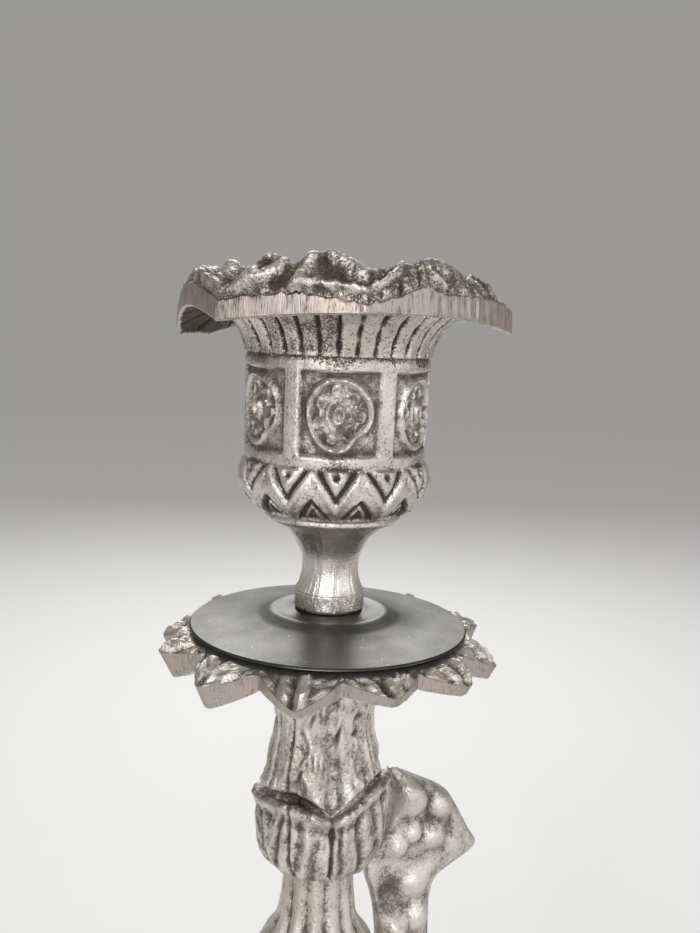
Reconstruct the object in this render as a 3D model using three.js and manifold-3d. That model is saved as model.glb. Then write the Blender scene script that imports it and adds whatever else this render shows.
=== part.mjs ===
// A three-light candelabra of cast brass, silver plated, in the rococo manner: a domed foot, a baluster column,
// two scroll arms that swing on a spigot, and three like lights, each a leaf stem, a star plate, a spun pan and a cup.
// Millimetres, +Z up. The origin is the centre of the foot, on the table. The arms lie along X at rest.
import * as THREE from "three";
import { mergeVertices } from "three/addons/utils/BufferGeometryUtils.js";
import Module from "manifold-3d";

const wasm = await Module();
wasm.setup();

// Driving dimensions
const armReach = 140; // column axis to the axis of an outer light
const outerSeat = 255; // height of an outer light's seat, the top of its leaf stem
const centreSeat = 290; // height of the centre light's seat
const seatGap = 0.1; // what two flat seats keep between them
const runningGap = 0.35; // all round what turns or is threaded through a hole
const swingGap = 0.3; // above and below each arm's eye

// Rods and nuts, M6
const rodRadius = 3;
const rodHole = rodRadius + runningGap;
const nutAcrossFlats = 10;
const nutHeight = 5;
const rodStandsOut = 1.2; // past the nut at its foot
const studStandsOut = 0.6; // past the nut in a cup
const studFootGap = 0.5; // under a stud, in its socket
const washerThick = 1.6;
const washerRadius = 6.4;

// Candle cup, heights measured from the seat of its light
const candleBore = 11.2;
const boreMouthRadius = 12.4;
const boreMouthHeight = 63.5;
const drillPast = 12; // how far the bore's drill runs past its mouth
const cupFloor = 36.5;
const nutPocketRadius = 6.6;
const nutPocketDepth = 6.4;
const ferruleRadius = 6.3;
const ferruleHeight = 3.4;
const neckRadius = 5.2;
const neckHeight = 16.4; // of its narrowest place
const bowlFoot = 24; // the bead under the bowl
const beadRadius = 10.9;
const bowlRadius = 16.9;
const bowlWidest = 33;
const bodyRadius = 16.1;
const bodyFoot = 35;
const fluteFoot = 53.3; // where the fluted flare stands on the body
const fluteHead = 60.5;
const flareRadius = 20.3;
const fluteCount = 17;
const fluteDepth = 0.8;
const panelCount = 6;
const panelWide = 48; // degrees
const panelFoot = 36.4;
const panelHead = 50.6;
const panelDepth = 0.8;
const medallionRadius = 5.5; // to the middle of its ring
const medallionWire = 0.75;
const chevronCount = 12;
const chevronFoot = 25.2;
const chevronRise = 6.4;
const chevronBand = 2.4;
const chevronProud = 0.55;

// Rocaille rim of the cup. Its two halves are alike. Each tip stands out and droops, and between it and the next
// the edge arches in and up and grows thicker.
const rimTipsOfHalf = [
  { angle: -103, radius: 29.6, low: 56.9, thick: 4.8, archUp: 2.6 },
  { angle: -43, radius: 29, low: 58.2, thick: 2.8, archUp: 0.4 },
  { angle: 6, radius: 27.6, low: 60.1, thick: 1.7, archUp: 1 },
];
const rimArchIn = 2.2;
const rimArchThick = 0.9;
const rimSamples = 5; // between two tips
// Curls of the crest inside the edge, in one half: where each is, its half width in degrees and how far it rises.
const crestCurlsOfHalf = [
  { angle: -103, half: 24, rise: -3.2 },
  { angle: -75, half: 12, rise: 0.8 },
  { angle: -50, half: 13, rise: 1.6 },
  { angle: -28, half: 14, rise: 2.7 },
  { angle: -9, half: 16, rise: 4.4 },
  { angle: 33, half: 29, rise: 2.6 },
  { angle: 65, half: 10, rise: 1.5 },
];
const crestRadius = 23.2;
const crestBase = 66.3;
const otherHalf = (items) => items.map((item) => ({ ...item, angle: item.angle + 180 }));
const rimTips = [...rimTipsOfHalf, ...otherHalf(rimTipsOfHalf)];
const crestCurls = [...crestCurlsOfHalf, ...otherHalf(crestCurlsOfHalf)];

// Spun pan and star plate
const panRadius = 24.9;
const panThick = 0.8;
const panBossRadius = 10.6;
const panBossTop = 7.8;
const panEdgeTop = 5.2;
const starPoints = 12;
const starTipRadius = 30.8;
const starNotchRadius = 25.6;
const starTipDroop = 2; // underside of a tip, below the seat
const starNotchRise = 0.9; // underside of a notch, above the seat
const starThick = 3;
const starMidRise = 0.5; // of its top, halfway out, over its thickness at the seat
const starRidge = 0.8; // the middle of each point stands this far up
const starBossRadius = 8.4;

// Leaf stem under the star plate
const stemHeight = 41;
const stemTopRadius = 9.7;
const calyxLip = 26.5; // down from the seat to the lip of the lower leaves
const calyxRadius = 12.9;
const calyxLedge = 2; // from the lip in to the edge of the upper leaves
const calyxGroove = 4.2; // from the lip in to the floor of the groove
const calyxLipHigh = 1.2;
const calyxGap = 2.2; // between the lip and the upper leaves
const stemLeaves = 3;
const stemFootRadius = 6.6;

// Gadrooned knop under the leaf stem
const knopHeight = 34;
const knopNeckRadius = 6.4;
const knopRadius = 12.4;
const knopFootRadius = 6.8;
const knopLobes = 12;
const knopLobeDepth = 0.9;

// Arms
const eyeRadius = 12;
const eyeHeight = 6;
const spigotRadius = 5;
const armLevel = 124; // height of the middle of the two eyes
const armWide = 8.4;
const armDeep = 9.6;
const armEndWide = 6.4;
const lugWide = 8;
const lugReach = 15.5;
const armStart = 14.6; // clear of the other arm's eye
const socketRadius = 7.6;
const socketHeight = 12;
const socketHoleDepth = 14;
const leafThick = 8;
const leafEdgeThick = 4.6;
const leafStep = 1.5; // from the leaf's edge to its thicker body
const seatedGap = 0.3; // round a casting that is cut to the shape of what carries it
const leafScrewRadius = 1.5;
const leafScrewHead = 2.7;
const leafScrewHeadHigh = 1.8;
const leafScrewRise = 6; // above the middle of the arm's eyes
const leafScrewSeat = 3.2; // from the light's axis to the underside of the head
const leafScrewReach = 14; // to the point of the screw

// Column and foot
const footRadius = 60;
const footLobes = 6;
const footLobeDepth = 3.2;
const footEdge = 5;
const footShoulderRadius = 46;
const footShoulder = 11;
const footSlopeRadius = 30;
const footSlope = 16.5;
const footWaistRadius = 17;
const footWaist = 24;
const footTop = 40;
const footTopRadius = 11;
const footWall = 3.6;
const footSwell = 1.1; // of the shoulder at each lobe
const footHoleThick = 6;
const collarHeight = 7;
const collarRadius = 14.5;
const lowerFootRadius = 9;
const lowerNeckRadius = 5.9;
const lowerBellyRadius = 15;
const lowerHeadRadius = 8.6;
const lowerLobeDepth = 1.1;
const upperFootRadius = 13;
const upperNeckRadius = 5.6;
const upperBellyRadius = 12.6;
const upperHeadRadius = 7.4;
const columnLobes = 8;
const flangeRadius = 13.5;
const flangeHeight = 5;

const silver = { color: 0xb9b2a4, metalness: 1, roughness: 0.38 };
const spunSilver = { color: 0x7b7975, metalness: 1, roughness: 0.3 };
const brass = { color: 0xa8894e, metalness: 1, roughness: 0.4 };
const steel = { color: 0x8b8d90, metalness: 1, roughness: 0.45 };

const radians = THREE.MathUtils.degToRad;
const lerp = THREE.MathUtils.lerp;

// Solids: a closed geometry to manifold-3d and back
function solidOf(geometry) {
  const bare = geometry.clone();
  bare.deleteAttribute("normal");
  bare.deleteAttribute("uv");
  const merged = mergeVertices(bare, 1e-4);
  const index = Uint32Array.from(merged.index.array);
  const mesh = { numProp: 3, vertProperties: merged.getAttribute("position").array, triVerts: index };
  const solid = new wasm.Manifold(new wasm.Mesh(mesh));
  if (solid.volume() > 0) return solid;
  for (let i = 0; i < index.length; i += 3) [index[i + 1], index[i + 2]] = [index[i + 2], index[i + 1]];
  return new wasm.Manifold(new wasm.Mesh(mesh));
}

function geometryOf(solid) {
  const mesh = solid.getMesh();
  const geometry = new THREE.BufferGeometry();
  geometry.setAttribute("position", new THREE.BufferAttribute(Float32Array.from(mesh.vertProperties), 3));
  geometry.setIndex(new THREE.BufferAttribute(Uint32Array.from(mesh.triVerts), 1));
  geometry.computeVertexNormals();
  return geometry;
}

function union(solids) {
  return solids.reduce((whole, next) => whole.add(next));
}

// Equal angles all round, in radians
function evenly(count, start = 0) {
  return Array.from({ length: count }, (_, i) => start + (i * 2 * Math.PI) / count);
}

// A body round Z whose closed outline of [radius, height] points may change with the angle.
function revolve(outline, angles) {
  const rows = angles.map((angle) => [...outline(angle), outline(angle)[0]]);
  const points = rows[0].map(([radius, height]) => new THREE.Vector2(radius, height));
  const lathe = new THREE.LatheGeometry(points, angles.length);
  const position = lathe.getAttribute("position");
  for (let i = 0; i <= angles.length; i++) {
    const step = i % angles.length;
    rows[step].forEach(([radius, height], j) => {
      const [x, y] = [radius * Math.cos(angles[step]), radius * Math.sin(angles[step])];
      position.setXYZ(i * points.length + j, x, y, height);
    });
  }
  return solidOf(lathe);
}

const turned = (outline, sides) => revolve(() => outline, evenly(sides));

// A plain rod or drill along Z
function cylinder(radius, low, high, sides) {
  const geometry = new THREE.CylinderGeometry(radius, radius, high - low, sides);
  return solidOf(geometry.rotateX(Math.PI / 2).translate(0, 0, (low + high) / 2));
}

// A sweep of rings, each a closed loop of as many points, capped flat at both ends
function loft(rings) {
  const sides = rings[0].length;
  const positions = rings.flat().flatMap((p) => [p.x, p.y, p.z]);
  const index = [];
  for (let i = 0; i + 1 < rings.length; i++) {
    for (let j = 0; j < sides; j++) {
      const [a, b] = [i * sides + j, i * sides + ((j + 1) % sides)];
      index.push(a, b, a + sides, b, b + sides, a + sides);
    }
  }
  const last = (rings.length - 1) * sides;
  for (let j = 1; j + 1 < sides; j++) index.push(0, j + 1, j, last, last + j, last + j + 1);
  const geometry = new THREE.BufferGeometry();
  geometry.setAttribute("position", new THREE.Float32BufferAttribute(positions, 3));
  geometry.setIndex(index);
  return solidOf(geometry);
}

// The cup, its angles measured from the side that faces outwards

// Where an angle lies between two tips of the rim, 0 at the first and 1 at the next
function betweenTips(degrees) {
  for (let i = 0; i < rimTips.length; i++) {
    const [from, to] = [rimTips[i], rimTips[(i + 1) % rimTips.length]];
    const span = (to.angle - from.angle + 360) % 360;
    const along = (((degrees - from.angle) % 360) + 360) % 360;
    if (along <= span + 1e-9) return { from, to, share: along / span };
  }
  return { from: rimTips[0], to: rimTips[0], share: 0 };
}

function rimEdge(degrees) {
  const { from, to, share } = betweenTips(degrees);
  const arch = Math.sin(Math.PI * share);
  return {
    radius: lerp(from.radius, to.radius, share) - rimArchIn * arch,
    low: lerp(from.low, to.low, share) + from.archUp * arch,
    thick: lerp(from.thick, to.thick, share) + rimArchThick * arch,
  };
}

function crestHeight(degrees) {
  return crestCurls.reduce((height, curl) => {
    const away = Math.abs(((degrees - curl.angle + 540) % 360) - 180);
    return away < curl.half ? height + curl.rise * Math.cos((away / curl.half) * (Math.PI / 2)) ** 2 : height;
  }, crestBase);
}

function rimOutline(angle) {
  const degrees = THREE.MathUtils.radToDeg(angle);
  const { radius, low, thick } = rimEdge(degrees);
  const crest = crestHeight(degrees);
  return [
    [candleBore - 1, fluteHead - 0.5],
    [flareRadius + 0.5, fluteHead - 0.5],
    [radius, low],
    [radius, low + thick],
    [(radius + crestRadius) / 2, lerp(low + thick, crest, 0.62)],
    [crestRadius, crest],
    [candleBore - 1, boreMouthHeight],
  ];
}

function rim() {
  const angles = rimTips.flatMap((tip, i) => {
    const span = (rimTips[(i + 1) % rimTips.length].angle - tip.angle + 360) % 360;
    return Array.from({ length: rimSamples }, (_, k) => radians(tip.angle + (span * k) / rimSamples));
  });
  return revolve(rimOutline, angles);
}

// The bowl swells from its bead to its widest place.
function bowlAt(height) {
  const share = (height - bowlFoot) / (bowlWidest - bowlFoot);
  return lerp(beadRadius, bowlRadius, Math.sin((Math.PI / 2) * Math.min(share, 1)));
}

// The turned body. The raised zigzag round its bowl has two points to each panel.
function cupBody() {
  const foot = panBossTop + seatGap;
  return revolve((angle) => {
    const low = chevronFoot + (Math.round((angle * chevronCount) / Math.PI) % 2 ? chevronRise : 0);
    const high = low + chevronBand;
    return [
      [rodHole - 1, foot],
      [ferruleRadius, foot],
      [ferruleRadius, foot + ferruleHeight],
      [neckRadius, neckHeight],
      [ferruleRadius + 0.6, neckHeight + 4.4],
      [beadRadius, bowlFoot - 0.5],
      [bowlAt(low), low],
      [bowlAt(low) + chevronProud, low + chevronProud],
      [bowlAt(high) + chevronProud, high - chevronProud],
      [bowlAt(high), high],
      [bodyRadius, bodyFoot + 1],
      [bodyRadius, fluteFoot + 0.6],
      [rodHole - 1, fluteFoot + 0.6],
    ];
  }, evenly(2 * chevronCount));
}

// Tongues that flare out from the body to the rim, with a groove between each two
function flutes() {
  const angles = evenly(2 * fluteCount);
  return revolve((angle) => {
    const groove = Math.round((angle * fluteCount) / Math.PI) % 2 ? fluteDepth : 0;
    return [
      [candleBore - 2, fluteFoot],
      [bodyRadius + 0.5 - groove * 0.4, fluteFoot],
      [lerp(bodyRadius, flareRadius, 0.4) - groove, lerp(fluteFoot, fluteHead, 0.55)],
      [flareRadius - groove, fluteHead],
      [candleBore - 2, fluteHead],
    ];
  }, angles);
}

// Each panel is a sunk square that holds a ring.
function panelCut() {
  const half = radians(panelWide / 2);
  const floor = bodyRadius - panelDepth;
  const shape = new THREE.Shape();
  shape.moveTo(floor * Math.cos(half), -floor * Math.sin(half));
  shape.lineTo((bodyRadius + 2) * Math.cos(half), -(bodyRadius + 2) * Math.sin(half));
  shape.lineTo((bodyRadius + 2) / Math.cos(half), 0);
  shape.lineTo((bodyRadius + 2) * Math.cos(half), (bodyRadius + 2) * Math.sin(half));
  shape.lineTo(floor * Math.cos(half), floor * Math.sin(half));
  shape.lineTo(floor, 0);
  const depth = panelHead - panelFoot;
  return solidOf(new THREE.ExtrudeGeometry(shape, { depth, bevelEnabled: false }).translate(0, 0, panelFoot));
}

function medallion() {
  const middle = (panelFoot + panelHead) / 2;
  const ring = new THREE.TorusGeometry(medallionRadius, medallionWire, 3, 7);
  const bent = ring.getAttribute("position");
  const floor = bodyRadius - panelDepth;
  for (let i = 0; i < bent.count; i++) {
    const turn = bent.getX(i) / floor;
    const radius = floor + bent.getZ(i) + 0.1;
    bent.setXYZ(i, radius * Math.cos(turn), radius * Math.sin(turn), middle + bent.getY(i));
  }
  return solidOf(ring);
}

function cupBore() {
  const foot = panBossTop - 1;
  const pocketFloor = cupFloor - nutPocketDepth;
  const chamfer = boreMouthRadius - candleBore;
  return [
    cylinder(rodHole, foot, cupFloor, 12),
    cylinder(nutPocketRadius, pocketFloor, cupFloor + 1, 12),
    cylinder(candleBore, cupFloor, boreMouthHeight + drillPast, 24),
    turned(
      [
        [0.5, boreMouthHeight - chamfer - 1],
        [candleBore - 1, boreMouthHeight - chamfer - 1],
        [boreMouthRadius, boreMouthHeight - chamfer + 1],
        [boreMouthRadius, boreMouthHeight + drillPast],
        [0.5, boreMouthHeight + drillPast],
      ],
      24,
    ),
  ];
}

function cup() {
  const turnedAbout = (solid, i, count) => solid.rotate([0, 0, (360 * i) / count]);
  let body = cupBody();
  for (let i = 0; i < panelCount; i++) body = body.subtract(turnedAbout(panelCut(), i, panelCount));
  const relief = [flutes(), rim()];
  for (let i = 0; i < panelCount; i++) {
    relief.push(turnedAbout(medallion(), i, panelCount));
  }
  return union([body, ...relief]).subtract(union(cupBore()));
}

// Pan and star plate
function pan() {
  const under = panBossTop - panThick;
  return turned(
    [
      [rodHole, under],
      [panBossRadius - 0.9, under],
      [panRadius - 0.2, panEdgeTop - panThick],
      [panRadius, panEdgeTop],
      [panBossRadius, panBossTop],
      [rodHole, panBossTop],
    ],
    24,
  );
}

function starPlate() {
  const outline = (angle) => {
    const out = 1 - (Math.round((angle * starPoints) / Math.PI) % 2);
    const radius = lerp(starNotchRadius, starTipRadius, out);
    const low = lerp(starNotchRise, -starTipDroop, out);
    const bossTop = panBossTop - panThick - 2 * seatGap;
    return [
      [rodHole, 0],
      [stemTopRadius, 0],
      [radius, low],
      [radius, low + starThick],
      [lerp(stemTopRadius, starNotchRadius, 0.68), starThick + starMidRise + starRidge * out],
      [starBossRadius, starThick],
      [starBossRadius, bossTop],
      [rodHole, bossTop],
    ];
  };
  return revolve(outline, evenly(2 * starPoints));
}

// Leaf stem: upright leaves over a calyx of lower ones. A groove runs behind the lips of the lower leaves.
// Across a leaf, from the valley where it meets the one before: how far each place stands out or up.
const leafAcross = [
  { upper: -0.8, lower: -1.2, lip: -1.4 },
  { upper: 0.1, lower: 0.1, lip: 0.7 },
  { upper: 0.2, lower: 0.2, lip: 1.9 },
  { upper: 0.2, lower: 0.2, lip: 1.9 },
  { upper: 0.1, lower: 0.1, lip: 0.7 },
];

function leafStem() {
  const outline = (angle) => {
    const step = Math.round((angle * stemLeaves * leafAcross.length) / (2 * Math.PI)) % leafAcross.length;
    const { upper, lower, lip } = leafAcross[step];
    const top = -calyxLip + lip;
    return [
      [rodHole, -stemHeight],
      [stemFootRadius, -stemHeight],
      [stemFootRadius + 2.6 + lower * 0.5, -stemHeight + 0.7],
      [calyxRadius - 1 + lower, -stemHeight + 5],
      [calyxRadius + lower, top - 1.2],
      [calyxRadius - calyxLip * 0.02 + lower, top],
      [calyxRadius - calyxGroove, top - calyxLipHigh],
      [calyxRadius - calyxGroove, top + calyxLipHigh],
      [calyxRadius - calyxLedge + upper, top + calyxGap],
      [stemTopRadius - 0.3 + upper, -stemHeight * 0.3],
      [stemTopRadius - 0.2, 0],
      [rodHole, 0],
    ];
  };
  return revolve(outline, evenly(stemLeaves * leafAcross.length));
}

// Gadrooned knop: a waisted neck over a lobed ball
function knop() {
  const top = -stemHeight - seatGap;
  const foot = -stemHeight - knopHeight;
  const outline = (angle) => {
    const valley = Math.round((angle * knopLobes) / Math.PI) % 2 ? knopLobeDepth : 0;
    return [
      [rodHole, top],
      [knopNeckRadius, top],
      [knopNeckRadius + 0.6 - valley * 0.4, top - knopHeight * 0.24],
      [lerp(knopNeckRadius, knopRadius, 0.7) - valley, top - knopHeight * 0.43],
      [knopRadius - valley, top - knopHeight * 0.6],
      [lerp(knopFootRadius, knopRadius, 0.62) - valley, foot + knopHeight * 0.2],
      [knopFootRadius * 0.85, foot + knopHeight * 0.1],
      [knopFootRadius, foot],
      [rodHole, foot],
    ];
  };
  return revolve(outline, evenly(2 * knopLobes));
}

function rod(low, high) {
  return cylinder(rodRadius, low, high, 12);
}

function nut(low) {
  const circumradius = nutAcrossFlats / 2 / Math.cos(Math.PI / 6);
  return cylinder(circumradius, low, low + nutHeight, 6).subtract(cylinder(rodHole, low - 1, low + nutHeight + 1, 12));
}

// Arms. A path point is [distance from the column, height], seen from the side.
const socketTop = outerSeat - stemHeight - knopHeight - seatGap;
const armPath = [
  [armStart, armLevel],
  [22, armLevel + 3.6],
  [38, armLevel + 12.5],
  [armReach * 0.386, armLevel + 8],
  [armReach / 2, armLevel - 4],
  [armReach - 54, armLevel - 15],
  [armReach - 36, armLevel - 20],
  [armReach - 18, armLevel - 14],
  [armReach - 6, armLevel + 3],
  [armReach - 1, armLevel + 24],
  [armReach, socketTop - socketHeight + 3],
];
// The leaf's outline beside its light, as [distance from the light's axis towards the column, height]
const leafFoot = [
  [3.5, armLevel + 2],
  [9, armLevel - 4],
  [16, armLevel + 3],
];
const leafOuterEdge = [
  [19.5, armLevel + 16],
  [23.5, armLevel + 38],
  [25.2, outerSeat - 75],
  [25.1, outerSeat - 62.5],
  [24.8, outerSeat - 54.5],
  [25.6, outerSeat - 49.8],
  [28.4, outerSeat - 47.8],
  [33.4, outerSeat - 48.2],
  [36.7, outerSeat - 46.2],
  [34, outerSeat - 42.6],
  [31, outerSeat - 37.5],
  [27.5, outerSeat - 31.8],
  [21.6, outerSeat - 29.2],
];
const leafTip = [
  [17.6, outerSeat - 27],
  [14.4, outerSeat - 25.8],
  [13.7, outerSeat - 27.6],
];
const leafInnerEdge = [
  [15.4, outerSeat - 31.8],
  [15.2, outerSeat - 39],
  [9.8, outerSeat - 46],
  [13.6, outerSeat - 54],
  [13.6, outerSeat - 66],
  [15.6, outerSeat - 80],
  [16.8, armLevel + 36],
  [12.6, armLevel + 18],
  [5, armLevel + 12],
];

// A curve in the arm's own upright plane, through points of [reach, height]; the arm points along -X.
function sideCurve(points) {
  return new THREE.CatmullRomCurve3(
    points.map(([reach, height]) => new THREE.Vector3(-reach, 0, height)),
    false,
    "centripetal",
  );
}

// The arm's eye fills the lower or the upper half of the joint, and its lug carries the scroll.
function armEye(level) {
  const half = lugWide / 2;
  const lug = new THREE.BoxGeometry(lugReach - 8, lugWide, eyeHeight);
  lug.translate(-(lugReach + 8) / 2, 0, level + eyeHeight / 2);
  const hole = cylinder(spigotRadius + runningGap, level - 1, level + eyeHeight + 1, 20);
  return cylinder(eyeRadius, level, level + eyeHeight, 20).add(solidOf(lug)).subtract(hole);
}

function armScroll(grown = 0) {
  const curve = sideCurve(armPath);
  const [steps, sides] = [17, 8];
  const rings = Array.from({ length: steps + 1 }, (_, i) => {
    const t = i / steps;
    const centre = curve.getPointAt(t);
    const along = curve.getTangentAt(t);
    const up = new THREE.Vector3(-along.z, 0, along.x);
    const swell = 0.14 * Math.sin(Math.PI * t * 3) ** 2;
    const wide = lerp(armWide, armEndWide, t) * (1 + swell) + 2 * grown;
    const deep = lerp(armDeep, armEndWide, t) * (1 + swell) + 2 * grown;
    return Array.from({ length: sides }, (_, k) => {
      const turn = (2 * Math.PI * k) / sides;
      const offset = up.clone().multiplyScalar((deep / 2) * Math.cos(turn));
      return centre.clone().add(offset).add(new THREE.Vector3(0, (wide / 2) * Math.sin(turn), 0));
    });
  });
  return loft(rings);
}

function armSocket() {
  const foot = socketTop - socketHeight;
  return turned(
    [
      [0.5, foot],
      [armEndWide / 2 + 0.4, foot],
      [socketRadius, foot + 8],
      [socketRadius, socketTop],
      [0.5, socketTop],
    ],
    16,
  ).translate([-armReach, 0, 0]);
}

// The arm lies along -X, with its eye at the column.
function arm(level) {
  const hole = cylinder(rodHole, socketTop - socketHoleDepth, socketTop + 1, 12).translate([-armReach, 0, 0]);
  const counterbore = alongArm(cylinder(leafScrewHead + seatedGap, -4, leafScrewSeat + seatGap, 12));
  const cuts = [hole, counterbore, leafScrewHole()];
  return union([armEye(level), armScroll(), armSocket()]).subtract(union(cuts));
}

// A closed outline of [x, z] points, drawn in by some distance, as a plate of some thickness about Y = 0
function uprightPlate(points, drawnIn, thick) {
  const inset = points.map(([x, z], i) => {
    const [before, after] = [points.at(i - 1), points[(i + 1) % points.length]];
    const [dx, dz] = [after[0] - before[0], after[1] - before[1]];
    const size = Math.hypot(dx, dz);
    return new THREE.Vector2(x - (dz / size) * drawnIn, z + (dx / size) * drawnIn);
  });
  const plate = new THREE.ExtrudeGeometry(new THREE.Shape(inset), { depth: thick, bevelEnabled: false });
  return solidOf(plate.translate(0, 0, -thick / 2).rotateX(Math.PI / 2));
}

// The leaf beside the light is a flat casting in the arm's plane, seated on the arm like a saddle.
// Its body stands proud of its edge on both faces.
function armLeaf() {
  const besideLight = ([away, height]) => [away - armReach, height];
  const wholeLeaf = [...leafFoot, ...leafOuterEdge, ...leafTip, ...leafInnerEdge];
  const withoutTip = [...leafFoot, ...leafOuterEdge, ...leafInnerEdge];
  const edge = uprightPlate(wholeLeaf.map(besideLight), 0, leafEdgeThick);
  const body = uprightPlate(withoutTip.map(besideLight), leafStep, leafThick);
  return edge.add(body).subtract(armScroll(seatedGap)).subtract(leafScrewHole());
}

// The leaf's screw lies along X. Its head is let into the outer side of the arm.
function alongArm(solid) {
  return solid.rotate([0, 90, 0]).translate([-armReach, 0, armLevel + leafScrewRise]);
}

function leafScrewHole() {
  return alongArm(cylinder(leafScrewRadius + seatedGap, -1, leafScrewReach + 1, 10));
}

function leafScrew() {
  const head = cylinder(leafScrewHead, leafScrewSeat - leafScrewHeadHigh, leafScrewSeat, 12);
  return alongArm(head.add(cylinder(leafScrewRadius, leafScrewSeat, leafScrewReach, 10)));
}

// Column
const flangeTop = armLevel - eyeHeight - 1.5 * swingGap;
const lowerEye = flangeTop + swingGap;
const upperEye = lowerEye + eyeHeight + swingGap;
const spigotTop = upperEye + eyeHeight + swingGap;

function armSeat() {
  return turned(
    [
      [rodHole, flangeTop - flangeHeight],
      [flangeRadius - 4, flangeTop - flangeHeight],
      [flangeRadius, flangeTop - flangeHeight + 2],
      [flangeRadius, flangeTop],
      [spigotRadius, flangeTop],
      [spigotRadius, spigotTop],
      [rodHole, spigotTop],
    ],
    20,
  );
}

function foot() {
  const lobe = (angle) => 0.5 + 0.5 * Math.cos(footLobes * angle);
  const outline = (angle) => {
    const out = footRadius - footLobeDepth * (1 - lobe(angle));
    const swell = footSwell * lobe(angle);
    return [
      [rodHole, footTop],
      [rodHole, footTop - footHoleThick],
      [footTopRadius - footWall, footTop - footHoleThick],
      [footWaistRadius - 2 - footWall, footWaist - 2],
      [footSlopeRadius - footWall * 0.6, footSlope - 4],
      [out - 7, 0],
      [out - 1, 0],
      [out, 1.5],
      [out - 1.5, footEdge],
      [footShoulderRadius + swell, footShoulder + swell],
      [footSlopeRadius, footSlope + swell],
      [footWaistRadius, footWaist],
      [footTopRadius, footTop - 7],
      [footTopRadius, footTop],
    ];
  };
  return revolve(outline, evenly(footLobes * 4));
}

function collar() {
  const low = footTop + seatGap;
  return turned(
    [
      [rodHole, low],
      [collarRadius - 2, low],
      [collarRadius, low + 2.2],
      [collarRadius, low + 3.8],
      [collarRadius - 3, low + collarHeight],
      [rodHole, low + collarHeight],
    ],
    20,
  );
}

const lowerBalusterFoot = footTop + collarHeight + 2 * seatGap;
const lowerBalusterTop = flangeTop - flangeHeight - seatGap;

function lobed(profile, lobes, depth) {
  const outline = (angle) => {
    const valley = Math.round((angle * lobes) / Math.PI) % 2 ? depth : 0;
    return profile.map(([radius, height, share = 0]) => [radius - valley * share, height]);
  };
  return revolve(outline, evenly(2 * lobes));
}

function lowerBaluster() {
  const [low, high] = [lowerBalusterFoot, lowerBalusterTop];
  const at = (share) => lerp(low, high, share);
  return lobed(
    [
      [rodHole, low],
      [lowerFootRadius, low],
      [lowerFootRadius - 1, at(0.05)],
      [lowerNeckRadius, at(0.13)],
      [lowerBellyRadius * 0.57, at(0.23), 0.4],
      [lowerBellyRadius * 0.91, at(0.41), 1],
      [lowerBellyRadius, at(0.55), 1],
      [lowerBellyRadius * 0.8, at(0.67), 0.8],
      [lowerBellyRadius * 0.5, at(0.77)],
      [lowerNeckRadius, at(0.86)],
      [lowerHeadRadius, at(0.95)],
      [lowerHeadRadius, high],
      [rodHole, high],
    ],
    columnLobes,
    lowerLobeDepth,
  );
}

const upperBalusterFoot = spigotTop + seatGap;
const upperBalusterTop = centreSeat - stemHeight - knopHeight - seatGap;

function upperBaluster() {
  const [low, high] = [upperBalusterFoot, upperBalusterTop];
  const at = (share) => lerp(low, high, share);
  return lobed(
    [
      [rodHole, low],
      [upperFootRadius - 0.6, low],
      [upperFootRadius, at(0.024)],
      [upperFootRadius * 0.8, at(0.06)],
      [upperNeckRadius * 1.14, at(0.142)],
      [upperBellyRadius * 0.75, at(0.285), 0.7],
      [upperBellyRadius, at(0.43), 1],
      [upperBellyRadius * 0.87, at(0.545), 1],
      [upperBellyRadius * 0.52, at(0.71), 0.4],
      [upperNeckRadius, at(0.83)],
      [upperHeadRadius, at(0.964)],
      [upperHeadRadius, high],
      [rodHole, high],
    ],
    columnLobes,
    knopLobeDepth,
  );
}

function washer(low) {
  const plate = cylinder(washerRadius, low, low + washerThick, 12);
  return plate.subtract(cylinder(rodHole, low - 1, low + washerThick + 1, 12));
}

// Assembly
const candelabra = new THREE.Group();

function add(parent, name, solid, look, turn = 0) {
  const mesh = new THREE.Mesh(geometryOf(solid), new THREE.MeshStandardMaterial(look));
  mesh.name = name;
  mesh.rotation.z = radians(turn);
  parent.add(mesh);
}

// Which way each casting of a light looks: the cup's first panel, the plate's first tip and the stem's first valley
const cupTurn = 244.2;
const starTurn = 232.7;
const leafTurn = 253;

// The pieces of one light, stacked on its rod, in the light's own frame
function addLight(parent, side, seat, at) {
  const light = new THREE.Group();
  light.position.set(at, 0, seat);
  add(light, `${side}_knop`, knop(), silver);
  add(light, `${side}_leaf_stem`, leafStem(), silver, leafTurn);
  add(light, `${side}_star_plate`, starPlate().translate([0, 0, seatGap]), silver, starTurn);
  add(light, `${side}_pan`, pan(), spunSilver);
  add(light, `${side}_cup`, cup(), silver, cupTurn);
  add(light, `${side}_cup_nut`, nut(cupFloor - nutPocketDepth + seatGap), brass);
  parent.add(light);
}

const rodTop = cupFloor - nutPocketDepth + seatGap + nutHeight + studStandsOut;

function addArm(side, eyeLevel, turn) {
  const group = new THREE.Group();
  group.rotation.z = radians(turn);
  add(group, `${side}_arm`, arm(eyeLevel), silver);
  add(group, `${side}_arm_leaf`, armLeaf(), silver);
  add(group, `${side}_leaf_screw`, leafScrew(), brass);
  const stud = rod(socketTop - socketHoleDepth + studFootGap, outerSeat + rodTop);
  add(group, `${side}_stud`, stud.translate([-armReach, 0, 0]), brass);
  addLight(group, side, outerSeat, -armReach);
  candelabra.add(group);
}

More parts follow.
